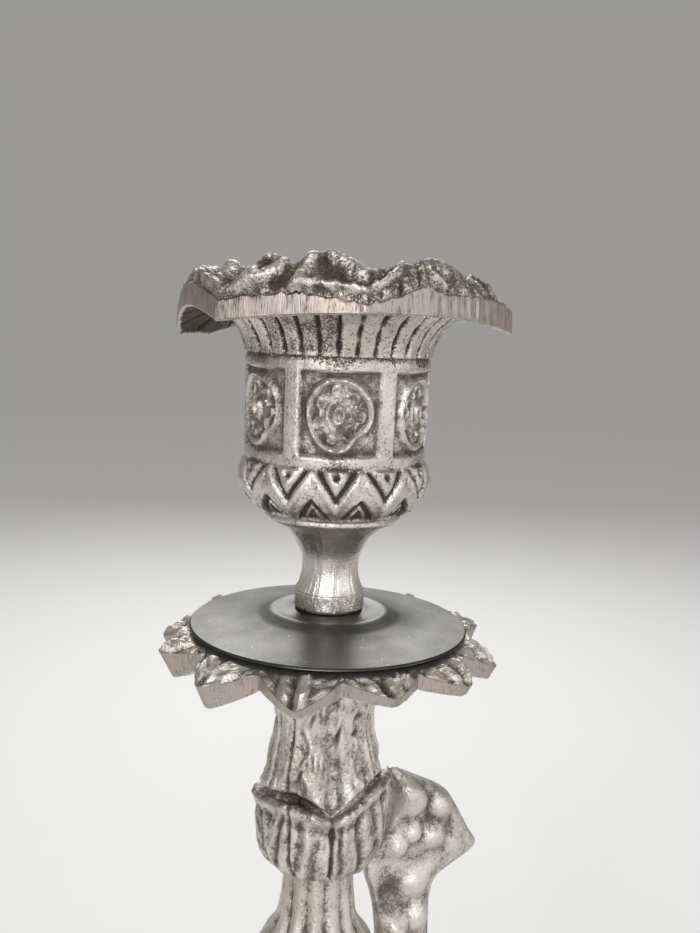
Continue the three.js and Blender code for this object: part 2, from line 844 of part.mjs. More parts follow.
const footNutTop = footTop - footHoleThick - washerThick - 2 * seatGap;
add(candelabra, "foot", foot(), silver);
add(candelabra, "foot_washer", washer(footNutTop + seatGap), steel);
add(candelabra, "foot_nut", nut(footNutTop - nutHeight), brass);
add(candelabra, "tie_rod", rod(footNutTop - nutHeight - rodStandsOut, centreSeat + rodTop), brass);
add(candelabra, "foot_collar", collar(), silver);
add(candelabra, "lower_baluster", lowerBaluster(), silver);
add(candelabra, "arm_seat", armSeat(), silver);
add(candelabra, "upper_baluster", upperBaluster(), silver);
addLight(candelabra, "centre", centreSeat, 0);
addArm("left", lowerEye, 0);
addArm("right", upperEye, 180);

export default candelabra;
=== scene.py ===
# A three-light candelabra of silver-plated cast brass, in the rococo manner, dressed over its working frame.
# Lengths are in millimetres until a mesh is made. The foot's centre is the origin and +Z is up.
import math

import bpy
import numpy as np
from mathutils import Matrix


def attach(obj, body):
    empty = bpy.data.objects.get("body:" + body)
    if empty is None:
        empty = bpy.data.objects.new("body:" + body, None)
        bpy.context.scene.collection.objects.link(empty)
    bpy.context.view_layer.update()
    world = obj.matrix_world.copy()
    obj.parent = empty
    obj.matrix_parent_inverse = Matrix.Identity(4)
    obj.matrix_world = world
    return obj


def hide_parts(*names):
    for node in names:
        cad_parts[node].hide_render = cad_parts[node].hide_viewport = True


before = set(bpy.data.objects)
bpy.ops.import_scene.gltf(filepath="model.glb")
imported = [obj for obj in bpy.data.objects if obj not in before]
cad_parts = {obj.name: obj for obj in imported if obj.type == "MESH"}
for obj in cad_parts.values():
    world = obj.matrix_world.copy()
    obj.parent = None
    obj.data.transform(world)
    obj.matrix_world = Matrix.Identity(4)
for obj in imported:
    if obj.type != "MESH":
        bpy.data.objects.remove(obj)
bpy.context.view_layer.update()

# The camera looks at the left light from just above the level of its pan, from as close as its owner would
# stand to study it. Angles are in degrees.
ARM_REACH = 140.0  # column axis to the axis of an outer light
OUTER_SEAT = 255.0  # height of an outer light's seat, the top of its leaf stem
CENTRE_SEAT = 290.0
VIEW_AZIMUTH = -28.8
VIEW_DISTANCE = 175.0
VIEW_PITCH = 8.61
VIEW_ROLL = 2.4
VIEW_ABOVE_SEAT = 60.0
VIEW_ASIDE = 2.8  # the light stands this far left of the picture's middle
FOCAL_PIXELS = 1000.0
PICTURE_HEIGHT = 933.0
SENSOR = 36.0


def aim_camera():
    azimuth, pitch, roll = (math.radians(v) for v in (VIEW_AZIMUTH, VIEW_PITCH, VIEW_ROLL))
    right = np.array([math.cos(azimuth), math.sin(azimuth), 0.0])
    level = np.array([-math.sin(azimuth), math.cos(azimuth), 0.0])
    up = np.array([0.0, 0.0, 1.0])
    ahead = level * math.cos(pitch) - up * math.sin(pitch)
    above = level * math.sin(pitch) + up * math.cos(pitch)
    side = right * math.cos(roll) + above * math.sin(roll)
    top = above * math.cos(roll) - right * math.sin(roll)
    light = np.array([-ARM_REACH, 0.0, OUTER_SEAT + VIEW_ABOVE_SEAT])
    place = light - level * VIEW_DISTANCE + right * VIEW_ASIDE
    camera = bpy.data.objects.new("camera", bpy.data.cameras.new("camera"))
    matrix = np.eye(4)
    matrix[:3, 0], matrix[:3, 1], matrix[:3, 2] = side, top, -ahead
    matrix[:3, 3] = place / 1000
    camera.matrix_world = Matrix(matrix.tolist())
    camera.data.sensor_width = SENSOR
    camera.data.lens = SENSOR * FOCAL_PIXELS / PICTURE_HEIGHT
    camera.data.clip_start = 0.01
    bpy.context.scene.collection.objects.link(camera)
    bpy.context.scene.camera = camera


aim_camera()

# The table top is a plain pale sweep under soft lamps. It is not part of the object.
FLOOR_PALE = "#FEFEFE"
WALL_PALE = "#E4E2DE"
FLOOR_SIZE = 40.0  # metres, as are the places of the lamps
WORLD_LEVEL = 0.42


def linear(hexadecimal):
    """An sRGB hex colour as linear red, green, blue and alpha."""
    parts = [int(hexadecimal[i : i + 2], 16) / 255 for i in (1, 3, 5)]
    return [v / 12.92 if v <= 0.04045 else ((v + 0.055) / 1.055) ** 2.4 for v in parts] + [1.0]


def join(made, links):
    """Gives the inputs of a node their sources or values, by name or number, or in order from the first."""
    for socket, source in links.items() if isinstance(links, dict) else enumerate(links):
        if hasattr(source, "links"):
            made.id_data.links.new(source, made.inputs[socket])
        else:
            made.inputs[socket].default_value = source


def node(tree, kind, links=(), output=0, **settings):
    """Adds a node with its settings and links, and gives back one of its outputs."""
    made = tree.nodes.new(kind)
    for key, value in settings.items():
        setattr(made, key, value)
    join(made, links)
    return made.outputs[output] if len(made.outputs) else None


def light_the_table():
    scene = bpy.context.scene
    scene.view_settings.view_transform = "Standard"
    world = bpy.data.worlds.new("studio")
    world.use_nodes = True
    scene.world = world
    tree = world.node_tree
    tree.nodes.clear()
    back = node(tree, "ShaderNodeBackground", {"Color": linear(WALL_PALE), "Strength": WORLD_LEVEL})
    node(tree, "ShaderNodeOutputWorld", {"Surface": back})

    half = FLOOR_SIZE / 2
    mesh = bpy.data.meshes.new("table_top")
    corners = [(-half, -half, 0), (half, -half, 0), (half, half, 0), (-half, half, 0)]
    mesh.from_pydata(corners, [], [(0, 1, 2, 3)])
    table = bpy.data.objects.new("table_top", mesh)
    scene.collection.objects.link(table)
    paint = bpy.data.materials.new("pale_table")
    paint.use_nodes = True
    join(paint.node_tree.nodes["Principled BSDF"], {"Base Color": linear(FLOOR_PALE), "Roughness": 0.8})
    mesh.materials.append(paint)

    lamps = {
        "key": ((-0.78, -0.82, 0.74), 0.6, 7.9),
        "fill": ((0.5, -0.85, 0.55), 0.8, 3.0),
        "back": ((0.25, 0.8, 0.85), 0.6, 5.0),
    }
    for name, (place, size, watts) in lamps.items():
        lamp = bpy.data.objects.new(name, bpy.data.lights.new(name, "AREA"))
        lamp.data.size = size
        lamp.data.energy = watts
        lamp.location = place
        aim = np.array([-0.05, 0.0, 0.22]) - np.array(place)
        flat = math.hypot(aim[0], aim[1])
        lamp.rotation_euler = (math.atan2(flat, -aim[2]), 0, math.atan2(aim[1], aim[0]) - math.pi / 2)
        scene.collection.objects.link(lamp)


light_the_table()

# The foot is a casting of brass, silver plated: a dome of six soft lobes with a gadrooned edge, hollow below,
# chased with a leaf on each lobe. Tarnish stays in its hollows and its high places are rubbed bright.
FOOT_RADIUS = 60.0
FOOT_LOBE_DEPTH = 3.2
FOOT_LOBES = 6
FOOT_TOP = 40.0
FOOT_TOP_RADIUS = 11.0
FOOT_WALL = 3.6
FOOT_PLATE = 6.0  # thickness round the rod's hole
FOOT_CHASED = slice(45, 143)  # steps of its outline, from its edge to its top
ROD_HOLE = 3.35
SILVER_BRIGHT = "#DBD7D0"
SILVER_WARM = "#B9AC9B"
SILVER_RUBBED = "#ECE8E1"
SILVER_FILED = "#B4AAA3"
SILVER_GREY = "#88817A"
TARNISH = "#50463D"
VERDIGRIS = "#7FA79C"


def new_finish(name):
    """A new material, its node tree, its shader and the piece's own coordinates."""
    material = bpy.data.materials.new(name)
    material.use_nodes = True
    tree = material.node_tree
    return material, tree, tree.nodes["Principled BSDF"], node(tree, "ShaderNodeTexCoord", output="Object")


def cast_silver(name, grain_mm, roughness, pits, wear, specks, streak=1.0, bright=SILVER_BRIGHT):
    """Silver plate over a sand casting: bright where hands rub it, brown-black in the hollows, with a fine
    grain, small pits and a few specks of green. Wear is how far the tarnish is rubbed off, and specks how far
    the grain shows in its colour. A streak under 1 draws the grain out upright, as a file leaves it."""
    material, tree, shader, place = new_finish(name)
    drawn = node(tree, "ShaderNodeMapping", {"Vector": place, "Scale": (1.0, 1.0, streak)})
    hollow = node(tree, "ShaderNodeAttribute", output="Fac", attribute_name="hollow")
    grain, speckle, stain, cloud, patches = (
        node(tree, "ShaderNodeTexNoise", {"Vector": where, "Scale": 1000 / size, "Detail": detail})
        for where, size, detail in ((drawn, grain_mm, 4.0), (drawn, grain_mm * 0.45, 2.0), (place, 2.2, 5.0),
                                    (place, 9.0, 3.0), (drawn, 3.1, 2.0)))
    pores = node(tree, "ShaderNodeTexVoronoi", {"Vector": place, "Scale": 1000 / 0.75})

    shade = hollow
    for marks, low, high, reach in ((grain, 0.25, 0.75, 0.3 * specks), (stain, 0.25, 0.75, 0.2),
                                    (speckle, 0.3, 0.7, 0.24 * specks)):
        spread = node(tree, "ShaderNodeMapRange", (marks, low, high, -reach, reach))
        shade = node(tree, "ShaderNodeMath", (shade, spread), operation="ADD")
    # The hollow attribute brings tarnish, and on the cup and the leaf stems painted shade too; this share
    # darkens the colour by it.
    tarnish_and_shade_share = node(tree, "ShaderNodeMapRange", (shade, 0.18 + wear, 0.86 + wear), interpolation_type="SMOOTHSTEP")
    pit = node(tree, "ShaderNodeMapRange", (pores, 0.08, 0.3, 1.0, 0.0))
    porous = node(tree, "ShaderNodeMapRange", (cloud, 0.42, 0.62, 0.0, pits))
    pitted = node(tree, "ShaderNodeMath", (pit, porous), operation="MULTIPLY")
    black = node(tree, "ShaderNodeMapRange", (tarnish_and_shade_share, 0.42, 1.0))
    darkest = node(tree, "ShaderNodeMath", (black, pitted), operation="MAXIMUM")

    warm = node(tree, "ShaderNodeMapRange", (cloud, 0.42, 0.7, 0.0, 0.7))
    grey = node(tree, "ShaderNodeMapRange", (tarnish_and_shade_share, 0.0, 0.5))
    patch = node(tree, "ShaderNodeMapRange", (patches, 0.75, 0.8))
    dust = node(tree, "ShaderNodeMapRange", (grain, 0.4, 0.6, 0.1, 0.7))
    green = node(tree, "ShaderNodeMath", (patch, dust), operation="MULTIPLY")
    colour = linear(bright)
    for share, tint in ((warm, SILVER_WARM), (grey, SILVER_GREY), (darkest, TARNISH), (green, VERDIGRIS)):
        colour = node(tree, "ShaderNodeMix", {0: share, 6: colour, 7: linear(tint)}, 2, data_type="RGBA")

    metallic = node(tree, "ShaderNodeMapRange", (darkest, 0.0, 1.0, 1.0, 0.5))
    dull = node(tree, "ShaderNodeMapRange", (darkest, 0.0, 1.0, roughness, 0.66))
    uneven = node(tree, "ShaderNodeMapRange", (grain, 0.2, 0.8, -0.08, 0.08))
    rough = node(tree, "ShaderNodeMath", (dull, uneven), operation="ADD")
    ridges = node(tree, "ShaderNodeMath", (speckle, 0.5, grain), operation="MULTIPLY_ADD")
    height = node(tree, "ShaderNodeMath", (ridges, pitted), operation="SUBTRACT")
    deep = node(tree, "ShaderNodeMapRange", (tarnish_and_shade_share, 0.0, 1.0, 0.0003 * grain_mm, 0.0009 * grain_mm))
    bump = node(tree, "ShaderNodeBump", {"Height": height, "Strength": 1.0, "Distance": deep})
    join(shader, {"Base Color": colour, "Metallic": metallic, "Roughness": rough, "Normal": bump})
    return material


sand_cast_silver = cast_silver("sand_cast_silver_plate", 0.4, 0.4, 0.8, 0.0, 1.0)
coarse_silver = cast_silver("coarse_cast_silver_plate", 0.5, 0.46, 0.6, 0.0, 0.6)
sunk_silver = cast_silver("tarnished_silver_plate", 0.4, 0.36, 0.4, 0.0, 0.35)
worn_silver = cast_silver("worn_silver_plate", 0.5, 0.44, 0.5, 0.05, 0.4)
filed_silver = cast_silver("filed_silver_plate", 0.25, 0.48, 0.0, 0.1, 0.9, streak=0.08, bright=SILVER_FILED)
burnished_silver = cast_silver("burnished_silver_plate", 0.3, 0.3, 0.2, 0.12, 0.2, bright=SILVER_RUBBED)


def smooth_path(points, steps):
    """Points along one smooth stretch through some given ones, evenly spaced, without its last point."""
    points = np.asarray(points, float)
    if len(points) == 2:
        share = np.linspace(0, 1, steps, endpoint=False).reshape((-1,) + (1,) * (points.ndim - 1))
        return points[0] + (points[1] - points[0]) * share
    step = np.diff(points, axis=0)
    sizes = np.sqrt((step.reshape(len(step), step.shape[1], -1) ** 2).sum(1)).mean(-1)
    knots = np.concatenate([[0], np.cumsum(np.maximum(sizes, 1e-6))])
    slope = np.empty_like(points)
    lift = lambda values: values.reshape((-1,) + (1,) * (points.ndim - 1))
    slope[1:-1] = (points[2:] - points[:-2]) / lift(knots[2:] - knots[:-2])
    slope[0] = step[0] / sizes[0]
    slope[-1] = step[-1] / sizes[-1]
    t = np.linspace(0, knots[-1], steps, endpoint=False)
    i = np.clip(np.searchsorted(knots, t, side="right") - 1, 0, len(knots) - 2)
    span = knots[i + 1] - knots[i]
    u, span = lift((t - knots[i]) / span), lift(span)
    return (
        points[i] * (2 * u**3 - 3 * u**2 + 1)
        + slope[i] * span * (u**3 - 2 * u**2 + u)
        + points[i + 1] * (3 * u**2 - 2 * u**3)
        + slope[i + 1] * span * (u**3 - u**2)
    )


def outline(*stretches):
    """A closed outline: [along it, radius or height, round the axis]. A stretch is its number of steps and the
    points it leads through, each a radius and a height, of one number or one for every angle. It is smooth in
    itself, and starts where the one before it ends."""
    sizes = [np.shape(v) for _, *points in stretches for point in points for v in point]
    shape = np.broadcast_shapes((1,), *sizes)
    runs, last = [], stretches[-1][-1]
    for steps, *points in stretches:
        through = [np.stack([np.broadcast_to(v, shape) for v in point]) for point in (last, *points)]
        runs.append(smooth_path(through, steps))
        last = points[-1]
    return np.concatenate(runs)


def on_steps(profile, steps):
    """1 on some steps of an outline and 0 on the others."""
    mask = np.zeros((len(profile), 1))
    mask[steps] = 1
    return mask


def spun(profile, angles):
    """Points of an outline turned about Z: [along the outline, round the axis, xyz]."""
    radius, height = profile[:, 0], profile[:, 1]
    return np.stack(np.broadcast_arrays(radius * np.cos(angles), radius * np.sin(angles), height), -1)


def outward(grid):
    """The unit normals of a grid that closes both ways."""
    along = np.roll(grid, -1, 0) - np.roll(grid, 1, 0)
    around = np.roll(grid, -1, 1) - np.roll(grid, 1, 1)
    normal = np.cross(around, along)
    return normal / np.maximum(np.linalg.norm(normal, axis=-1, keepdims=True), 1e-9)


def blurred(values, rows, columns):
    """Values averaged over a few rows and columns, twice, round the grid."""
    for _ in range(2):
        for axis, reach in ((0, rows), (1, columns)):
            values = sum(np.roll(values, k, axis) for k in range(-reach, reach + 1)) / (2 * reach + 1)
    return values


def raised(grid, relief, tarnish_and_shade=0.0):
    """A grid pushed out by its relief, in millimetres, and how hollow each point then is, from 0 to 1."""
    near = blurred(relief, 2, 2) - relief
    wide = blurred(relief, 6, 6) - relief
    # Any extra darkening given is added on: tarnish, and on the cup also painted shade.
    hollow = np.clip(0.32 + 0.8 * near + 0.6 * wide + tarnish_and_shade, 0, 1)
    return grid + outward(grid) * relief[..., None], hollow


def sand(shape, seed, size_mm):
    """The unevenness that a sand mould leaves."""
    grain = np.random.default_rng(seed).standard_normal(shape)
    return size_mm * 1.6 * blurred(grain, 1, 1) * 3


def bump_at(distance, width):
    return np.exp(-((distance / width) ** 2))


def plateau(distance, soft):
    """1 where the distance is well below zero and 0 where it is well above, with a soft edge."""
    u = np.clip(0.5 - distance / (2 * soft), 0, 1)
    return u * u * (3 - 2 * u)


def solid(name, grids, material, body, replaced, sharp=38, move=None, finishes=()):
    """One mesh piece from grids of points in millimetres, each with how hollow its points are. Each other
    finish of a piece of one grid is a material and where on the grid it is."""
    corners, faces, hollows, first = [], [], [], 0
    finish = []
    for grid, hollow, closed in grids:
        rows, columns = grid.shape[:2]
        number = first + np.arange(rows * columns).reshape(rows, columns)
        a = number if closed else number[:-1]
        d = np.roll(number, -1, 0) if closed else number[1:]
        quads = np.stack([a, np.roll(a, -1, 1), np.roll(d, -1, 1), d], -1).reshape(-1, 4)
        corners.append(grid.reshape(-1, 3))
        hollows.append(hollow.reshape(-1))
        faces += quads.tolist()
        kind = np.zeros(a.shape, int)
        for k, (_, where) in enumerate(finishes, 1):
            kind[np.broadcast_to(where, a.shape)] = k
        finish += kind.reshape(-1).tolist()
        if not closed:
            finish += [0, 0]
            faces.append(number[0][::-1].tolist())
            faces.append(number[-1].tolist())
        first += rows * columns
    points = np.concatenate(corners)
    if move is not None:
        points = move(points)
    mesh = bpy.data.meshes.new(name)
    mesh.from_pydata((points / 1000).tolist(), [], faces)
    attribute = mesh.attributes.new("hollow", "FLOAT", "POINT")
    attribute.data.foreach_set("value", np.concatenate(hollows).astype(np.float32))
    mesh.shade_smooth()
    mesh.set_sharp_from_angle(angle=math.radians(sharp))
    for metal in (material, *(other for other, _ in finishes)):
        mesh.materials.append(metal)
    mesh.polygons.foreach_set("material_index", finish)
    piece = bpy.data.objects.new(name, mesh)
    bpy.context.scene.collection.objects.link(piece)
    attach(piece, body)
    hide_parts(*replaced)


def turn_angles(count):
    return np.linspace(0, 2 * np.pi, count, endpoint=False)


def make_foot():
    angles = turn_angles(360)
    lobe = 0.5 + 0.5 * np.cos(FOOT_LOBES * angles)
    edge = FOOT_RADIUS - FOOT_LOBE_DEPTH * (1 - lobe)
    profile = outline(
        (3, (FOOT_TOP_RADIUS - FOOT_WALL, FOOT_TOP - FOOT_PLATE)),
        (24, (11.4, 22), (28, 12.6), (46, 5), (edge - 7, 0)),
        (4, (edge - 1, 0)),
        (14, (edge - 0.1, 1.3), (edge - 0.4, 3.4), (edge - 2, 4.9)),
        (90, (edge - 4.4, 5.2), (edge - 6.2, 6.4), (46, 11), (30, 16.5 + lobe), (17, 24), (11.6, 31.5),
         (10.6, 35.5)),
        (8, (11, 36.4), (FOOT_TOP_RADIUS, FOOT_TOP)),
        (4, (ROD_HOLE, FOOT_TOP)),
        (3, (ROD_HOLE, FOOT_TOP - FOOT_PLATE)),
    )
    radius, height = profile[:, 0], profile[:, 1]
    outer = on_steps(profile, FOOT_CHASED)
    gadroon = 0.7 * np.abs(np.cos(30 * angles)) * bump_at(height - 3.0, 2.0) * (radius > edge - 3) * outer
    across = np.abs((angles * FOOT_LOBES / (2 * np.pi) + 0.5) % 1 - 0.5) * 2 * np.pi / FOOT_LOBES * radius
    leaf_half = 11.5 * np.clip((radius - 15) / 18, 0, 1) ** 0.6 * np.clip((53.5 - radius) / 12, 0, 1) ** 0.6
    inside = plateau(across - leaf_half, 0.9) * outer
    barbs = np.abs(np.sin(np.pi * (radius - 0.9 * across) / 5.2)) ** 0.6
    leaf = inside * (0.55 + 0.6 * barbs) - 0.5 * bump_at(across, 0.7) * inside
    bead = 0.5 * bump_at(radius - (edge - 6), 0.9) * outer
    relief = gadroon + leaf + bead + sand(radius.shape, 11, 0.02) * outer
    grid, hollow = raised(spun(profile, angles), relief)
    solid("foot_casting", [(grid, hollow, True)], sand_cast_silver, "column", ["foot"])


make_foot()

# The tie rod, the nuts, the studs and the leaf screws are plain turned brass, and the washer is stamped steel.
# They stay as they are in the frame and only get their finish.
BRASS = "#A98B55"
BRASS_DARK = "#6B5227"
STEEL = "#8F9194"
STEEL_DARK = "#5B5C5E"


def turned_metal(name, light, dark, roughness):
    """Metal fresh from a lathe and then left to dull, with tool marks round it and a blotchy bloom."""
    material, tree, shader, place = new_finish(name)
    cloud = node(tree, "ShaderNodeTexNoise", {"Vector": place, "Scale": 1000 / 3.0, "Detail": 4.0})
    bloom = node(tree, "ShaderNodeMapRange", (cloud, 0.35, 0.7))
    colour = node(tree, "ShaderNodeMix", {0: bloom, 6: linear(light), 7: linear(dark)}, 2, data_type="RGBA")
    marks = node(tree, "ShaderNodeTexWave", {"Vector": place, "Scale": 1000 / 4.0, "Distortion": 0.6}, "Fac",
                 bands_direction="Z")
    bump = node(tree, "ShaderNodeBump", {"Height": marks, "Strength": 0.25, "Distance": 0.00003})
    join(shader, {"Base Color": colour, "Metallic": 1.0, "Roughness": roughness, "Normal": bump})
    return material


turned_brass = turned_metal("turned_brass", BRASS, BRASS_DARK, 0.36)
stamped_steel = turned_metal("stamped_steel", STEEL, STEEL_DARK, 0.42)
for cad_name, cad_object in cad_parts.items():
    if cad_name.endswith(("_nut", "_rod", "_stud", "_screw", "_washer")):
        cad_object.data.materials.clear()
        cad_object.data.materials.append(stamped_steel if cad_name.endswith("_washer") else turned_brass)

# The column is a stack of castings on the tie rod: a beaded collar, a lobed lower baluster, the flanged seat
# on whose spigot both arms turn, and a taller upper baluster.
COLLAR_FOOT, COLLAR_TOP = 40.1, 47.1
LOWER_FOOT, LOWER_TOP = 47.2, 112.45
SEAT_FOOT, SEAT_FLANGE, SEAT_TOP = 112.55, 117.55, 130.45
UPPER_FOOT, UPPER_TOP = 130.55, 214.9
SPIGOT_RADIUS = 5.0
COLUMN_LOBES = 16


def bead_ring_tree():
    """Beads in a row round a circle, half sunk in what carries them."""
    tree = bpy.data.node_groups.new("bead_ring", "GeometryNodeTree")
    for name, kind in (("Count", "NodeSocketInt"), ("Ring Radius", "NodeSocketFloat"),
                       ("Bead Radius", "NodeSocketFloat"), ("Height", "NodeSocketFloat"),
                       ("Metal", "NodeSocketMaterial")):
        tree.interface.new_socket(name, in_out="INPUT", socket_type=kind)
    tree.interface.new_socket("Geometry", in_out="OUTPUT", socket_type="NodeSocketGeometry")
    given = tree.nodes.new("NodeGroupInput").outputs
    circle = node(tree, "GeometryNodeMeshCircle", {"Vertices": given["Count"], "Radius": given["Ring Radius"]})
    lift = node(tree, "ShaderNodeCombineXYZ", {"Z": given["Height"]})
    ring = node(tree, "GeometryNodeTransform", {"Geometry": circle, "Translation": lift})
    bead = node(tree, "GeometryNodeMeshUVSphere", {"Segments": 14, "Rings": 9, "Radius": given["Bead Radius"]})
    smooth = node(tree, "GeometryNodeSetShadeSmooth", {"Geometry": bead})
    dots = node(tree, "GeometryNodeInstanceOnPoints", {"Points": ring, "Instance": smooth})
    real = node(tree, "GeometryNodeRealizeInstances", {"Geometry": dots})
    metal = node(tree, "GeometryNodeSetMaterial", {"Geometry": real, "Material": given["Metal"]})
    node(tree, "NodeGroupOutput", {"Geometry": metal})
    return tree


bead_rings = bead_ring_tree()


def bead_ring(name, count, ring_radius, bead_radius, height):
    """One row of beads round the column, made by the tree and kept as a plain mesh."""
    holder = bpy.data.objects.new(name + "_maker", bpy.data.meshes.new(name))
    bpy.context.scene.collection.objects.link(holder)
    modifier = holder.modifiers.new("beads", "NODES")
    modifier.node_group = bead_rings
    values = {"Count": count, "Ring Radius": ring_radius / 1000, "Bead Radius": bead_radius / 1000,
              "Height": height / 1000, "Metal": sand_cast_silver}
    for item in bead_rings.interface.items_tree:
        if item.in_out == "INPUT":
            modifier[item.identifier] = values[item.name]
    bpy.context.view_layer.update()
    mesh = bpy.data.meshes.new_from_object(holder.evaluated_get(bpy.context.evaluated_depsgraph_get()))
    holder.modifiers.remove(modifier)
    bpy.data.objects.remove(holder)
    corners = np.array([corner.co for corner in mesh.vertices])
    spread = np.hypot(corners[:, 0], corners[:, 1]) * 1000 - ring_radius
    shade = mesh.attributes.new("hollow", "FLOAT", "POINT")
    shade.data.foreach_set("value", np.clip(0.35 - 0.35 * spread / bead_radius, 0, 1).astype(np.float32))
    piece = bpy.data.objects.new(name, mesh)
    bpy.context.scene.collection.objects.link(piece)
    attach(piece, "column")


def lobed(name, node_name, seed, lobes, swelling, *stretches):
    """A turned and chased casting of the column. Swelling is how far its lobes stand out, by height."""
    angles = turn_angles(224)
    profile = outline(*stretches)
    radius, height = profile[:, 0], profile[:, 1]
    share = np.interp(height, *zip(*swelling))
    valley = np.abs(np.cos(lobes * angles / 2)) ** 0.55
    chased = share * (valley - 0.75) + sand((len(profile), len(angles)), seed, 0.018)
    grid, hollow = raised(spun(profile, angles), (radius > ROD_HOLE + 0.6) * chased)
    solid(name, [(grid, hollow, True)], sand_cast_silver, "column", [node_name])


lobed("collar_casting", "foot_collar", 21, 28, [(41, 0), (43.3, 0.55), (45.5, 0)],
      (3, (12.4, COLLAR_FOOT)),
      (18, (14.0, 41.4), (14.4, 43.2), (13.6, 45.0), (11.6, 46.2)),
      (3, (11.2, COLLAR_TOP)),
      (3, (ROD_HOLE, COLLAR_TOP)),
      (3, (ROD_HOLE, COLLAR_FOOT)))
lobed("lower_baluster_casting", "lower_baluster", 22, COLUMN_LOBES,
      [(57, 0), (66, 0.9), (84, 1.5), (94, 0.7), (98, 0)],
      (3, (8.8, LOWER_FOOT)),
      (14, (8.9, 48.4), (7.9, 49.6), (6.2, 52), (5.8, 55.4)),
      (74, (8.0, 61.5), (12.6, 71), (14.5, 81), (12.4, 90), (8.4, 96), (7.0, 98.6)),
      (26, (8.0, 99.4), (8.0, 100.4), (6.6, 101.2), (5.8, 104), (6.4, 107.6), (8.3, 109.6)),
      (4, (8.6, LOWER_TOP)),
      (3, (ROD_HOLE, LOWER_TOP)),
      (3, (ROD_HOLE, LOWER_FOOT)))
lobed("arm_seat_casting", "arm_seat", 23, 24, [(113, 0), (115.3, 0.5), (117, 0)],
      (3, (9.4, SEAT_FOOT)),
      (14, (12.4, 113.7), (13.4, 115.2), (13.3, SEAT_FLANGE)),
      (4, (SPIGOT_RADIUS, SEAT_FLANGE)),
      (6, (SPIGOT_RADIUS, SEAT_TOP)),
      (2, (ROD_HOLE, SEAT_TOP)),
      (3, (ROD_HOLE, SEAT_FOOT)))
lobed("upper_baluster_casting", "upper_baluster", 24, COLUMN_LOBES,
      [(148, 0), (156, 0.8), (172, 1.3), (190, 0.6), (200, 0)],
      (3, (12.2, UPPER_FOOT)),
      (14, (12.9, 131.8), (12.5, 133.4), (10.6, 135), (9.2, 137)),
      (10, (6.6, 141), (6.2, 144)),
      (8, (7.2, 144.8), (7.2, 146), (6.3, 146.8)),
      (90, (8.6, 154), (12.0, 166), (12.2, 172), (10.6, 181), (7.2, 193), (6.0, 201)),
      (20, (6.9, 201.8), (6.9, 203), (5.7, 204), (5.6, 208), (7.0, 211.6)),
      (5, (7.4, 212.4), (7.4, UPPER_TOP)),
      (3, (ROD_HOLE, UPPER_TOP)),
      (3, (ROD_HOLE, UPPER_FOOT)))
bead_ring("collar_beads", 30, 11.4, 0.62, 46.5)
bead_ring("foot_top_beads", 26, 10.9, 0.8, 36.0)

# Each arm is one casting: an eye that turns on the spigot, a scroll wrapped in leaf work and a fluted socket.
# The two are alike but for the level of the eye, and the right one is turned half round.
EYE_HEIGHT = 6.0
EYE_RADIUS = 12.0
EYE_GAP = 0.3
ARM_PATH = [(11.5, 124.0), (22, 127.6), (38, 136.5), (54, 132), (70, 120), (86, 109), (104, 104), (122, 110),
            (134, 127), (139, 148), (140, 170.8)]
ARM_WIDE, ARM_DEEP, ARM_END = 8.4, 9.6, 6.4
SOCKET_TOP = 179.9
SOCKET_HEIGHT = 12.0


def half_turn(points):
    return points * np.array([-1, -1, 1])


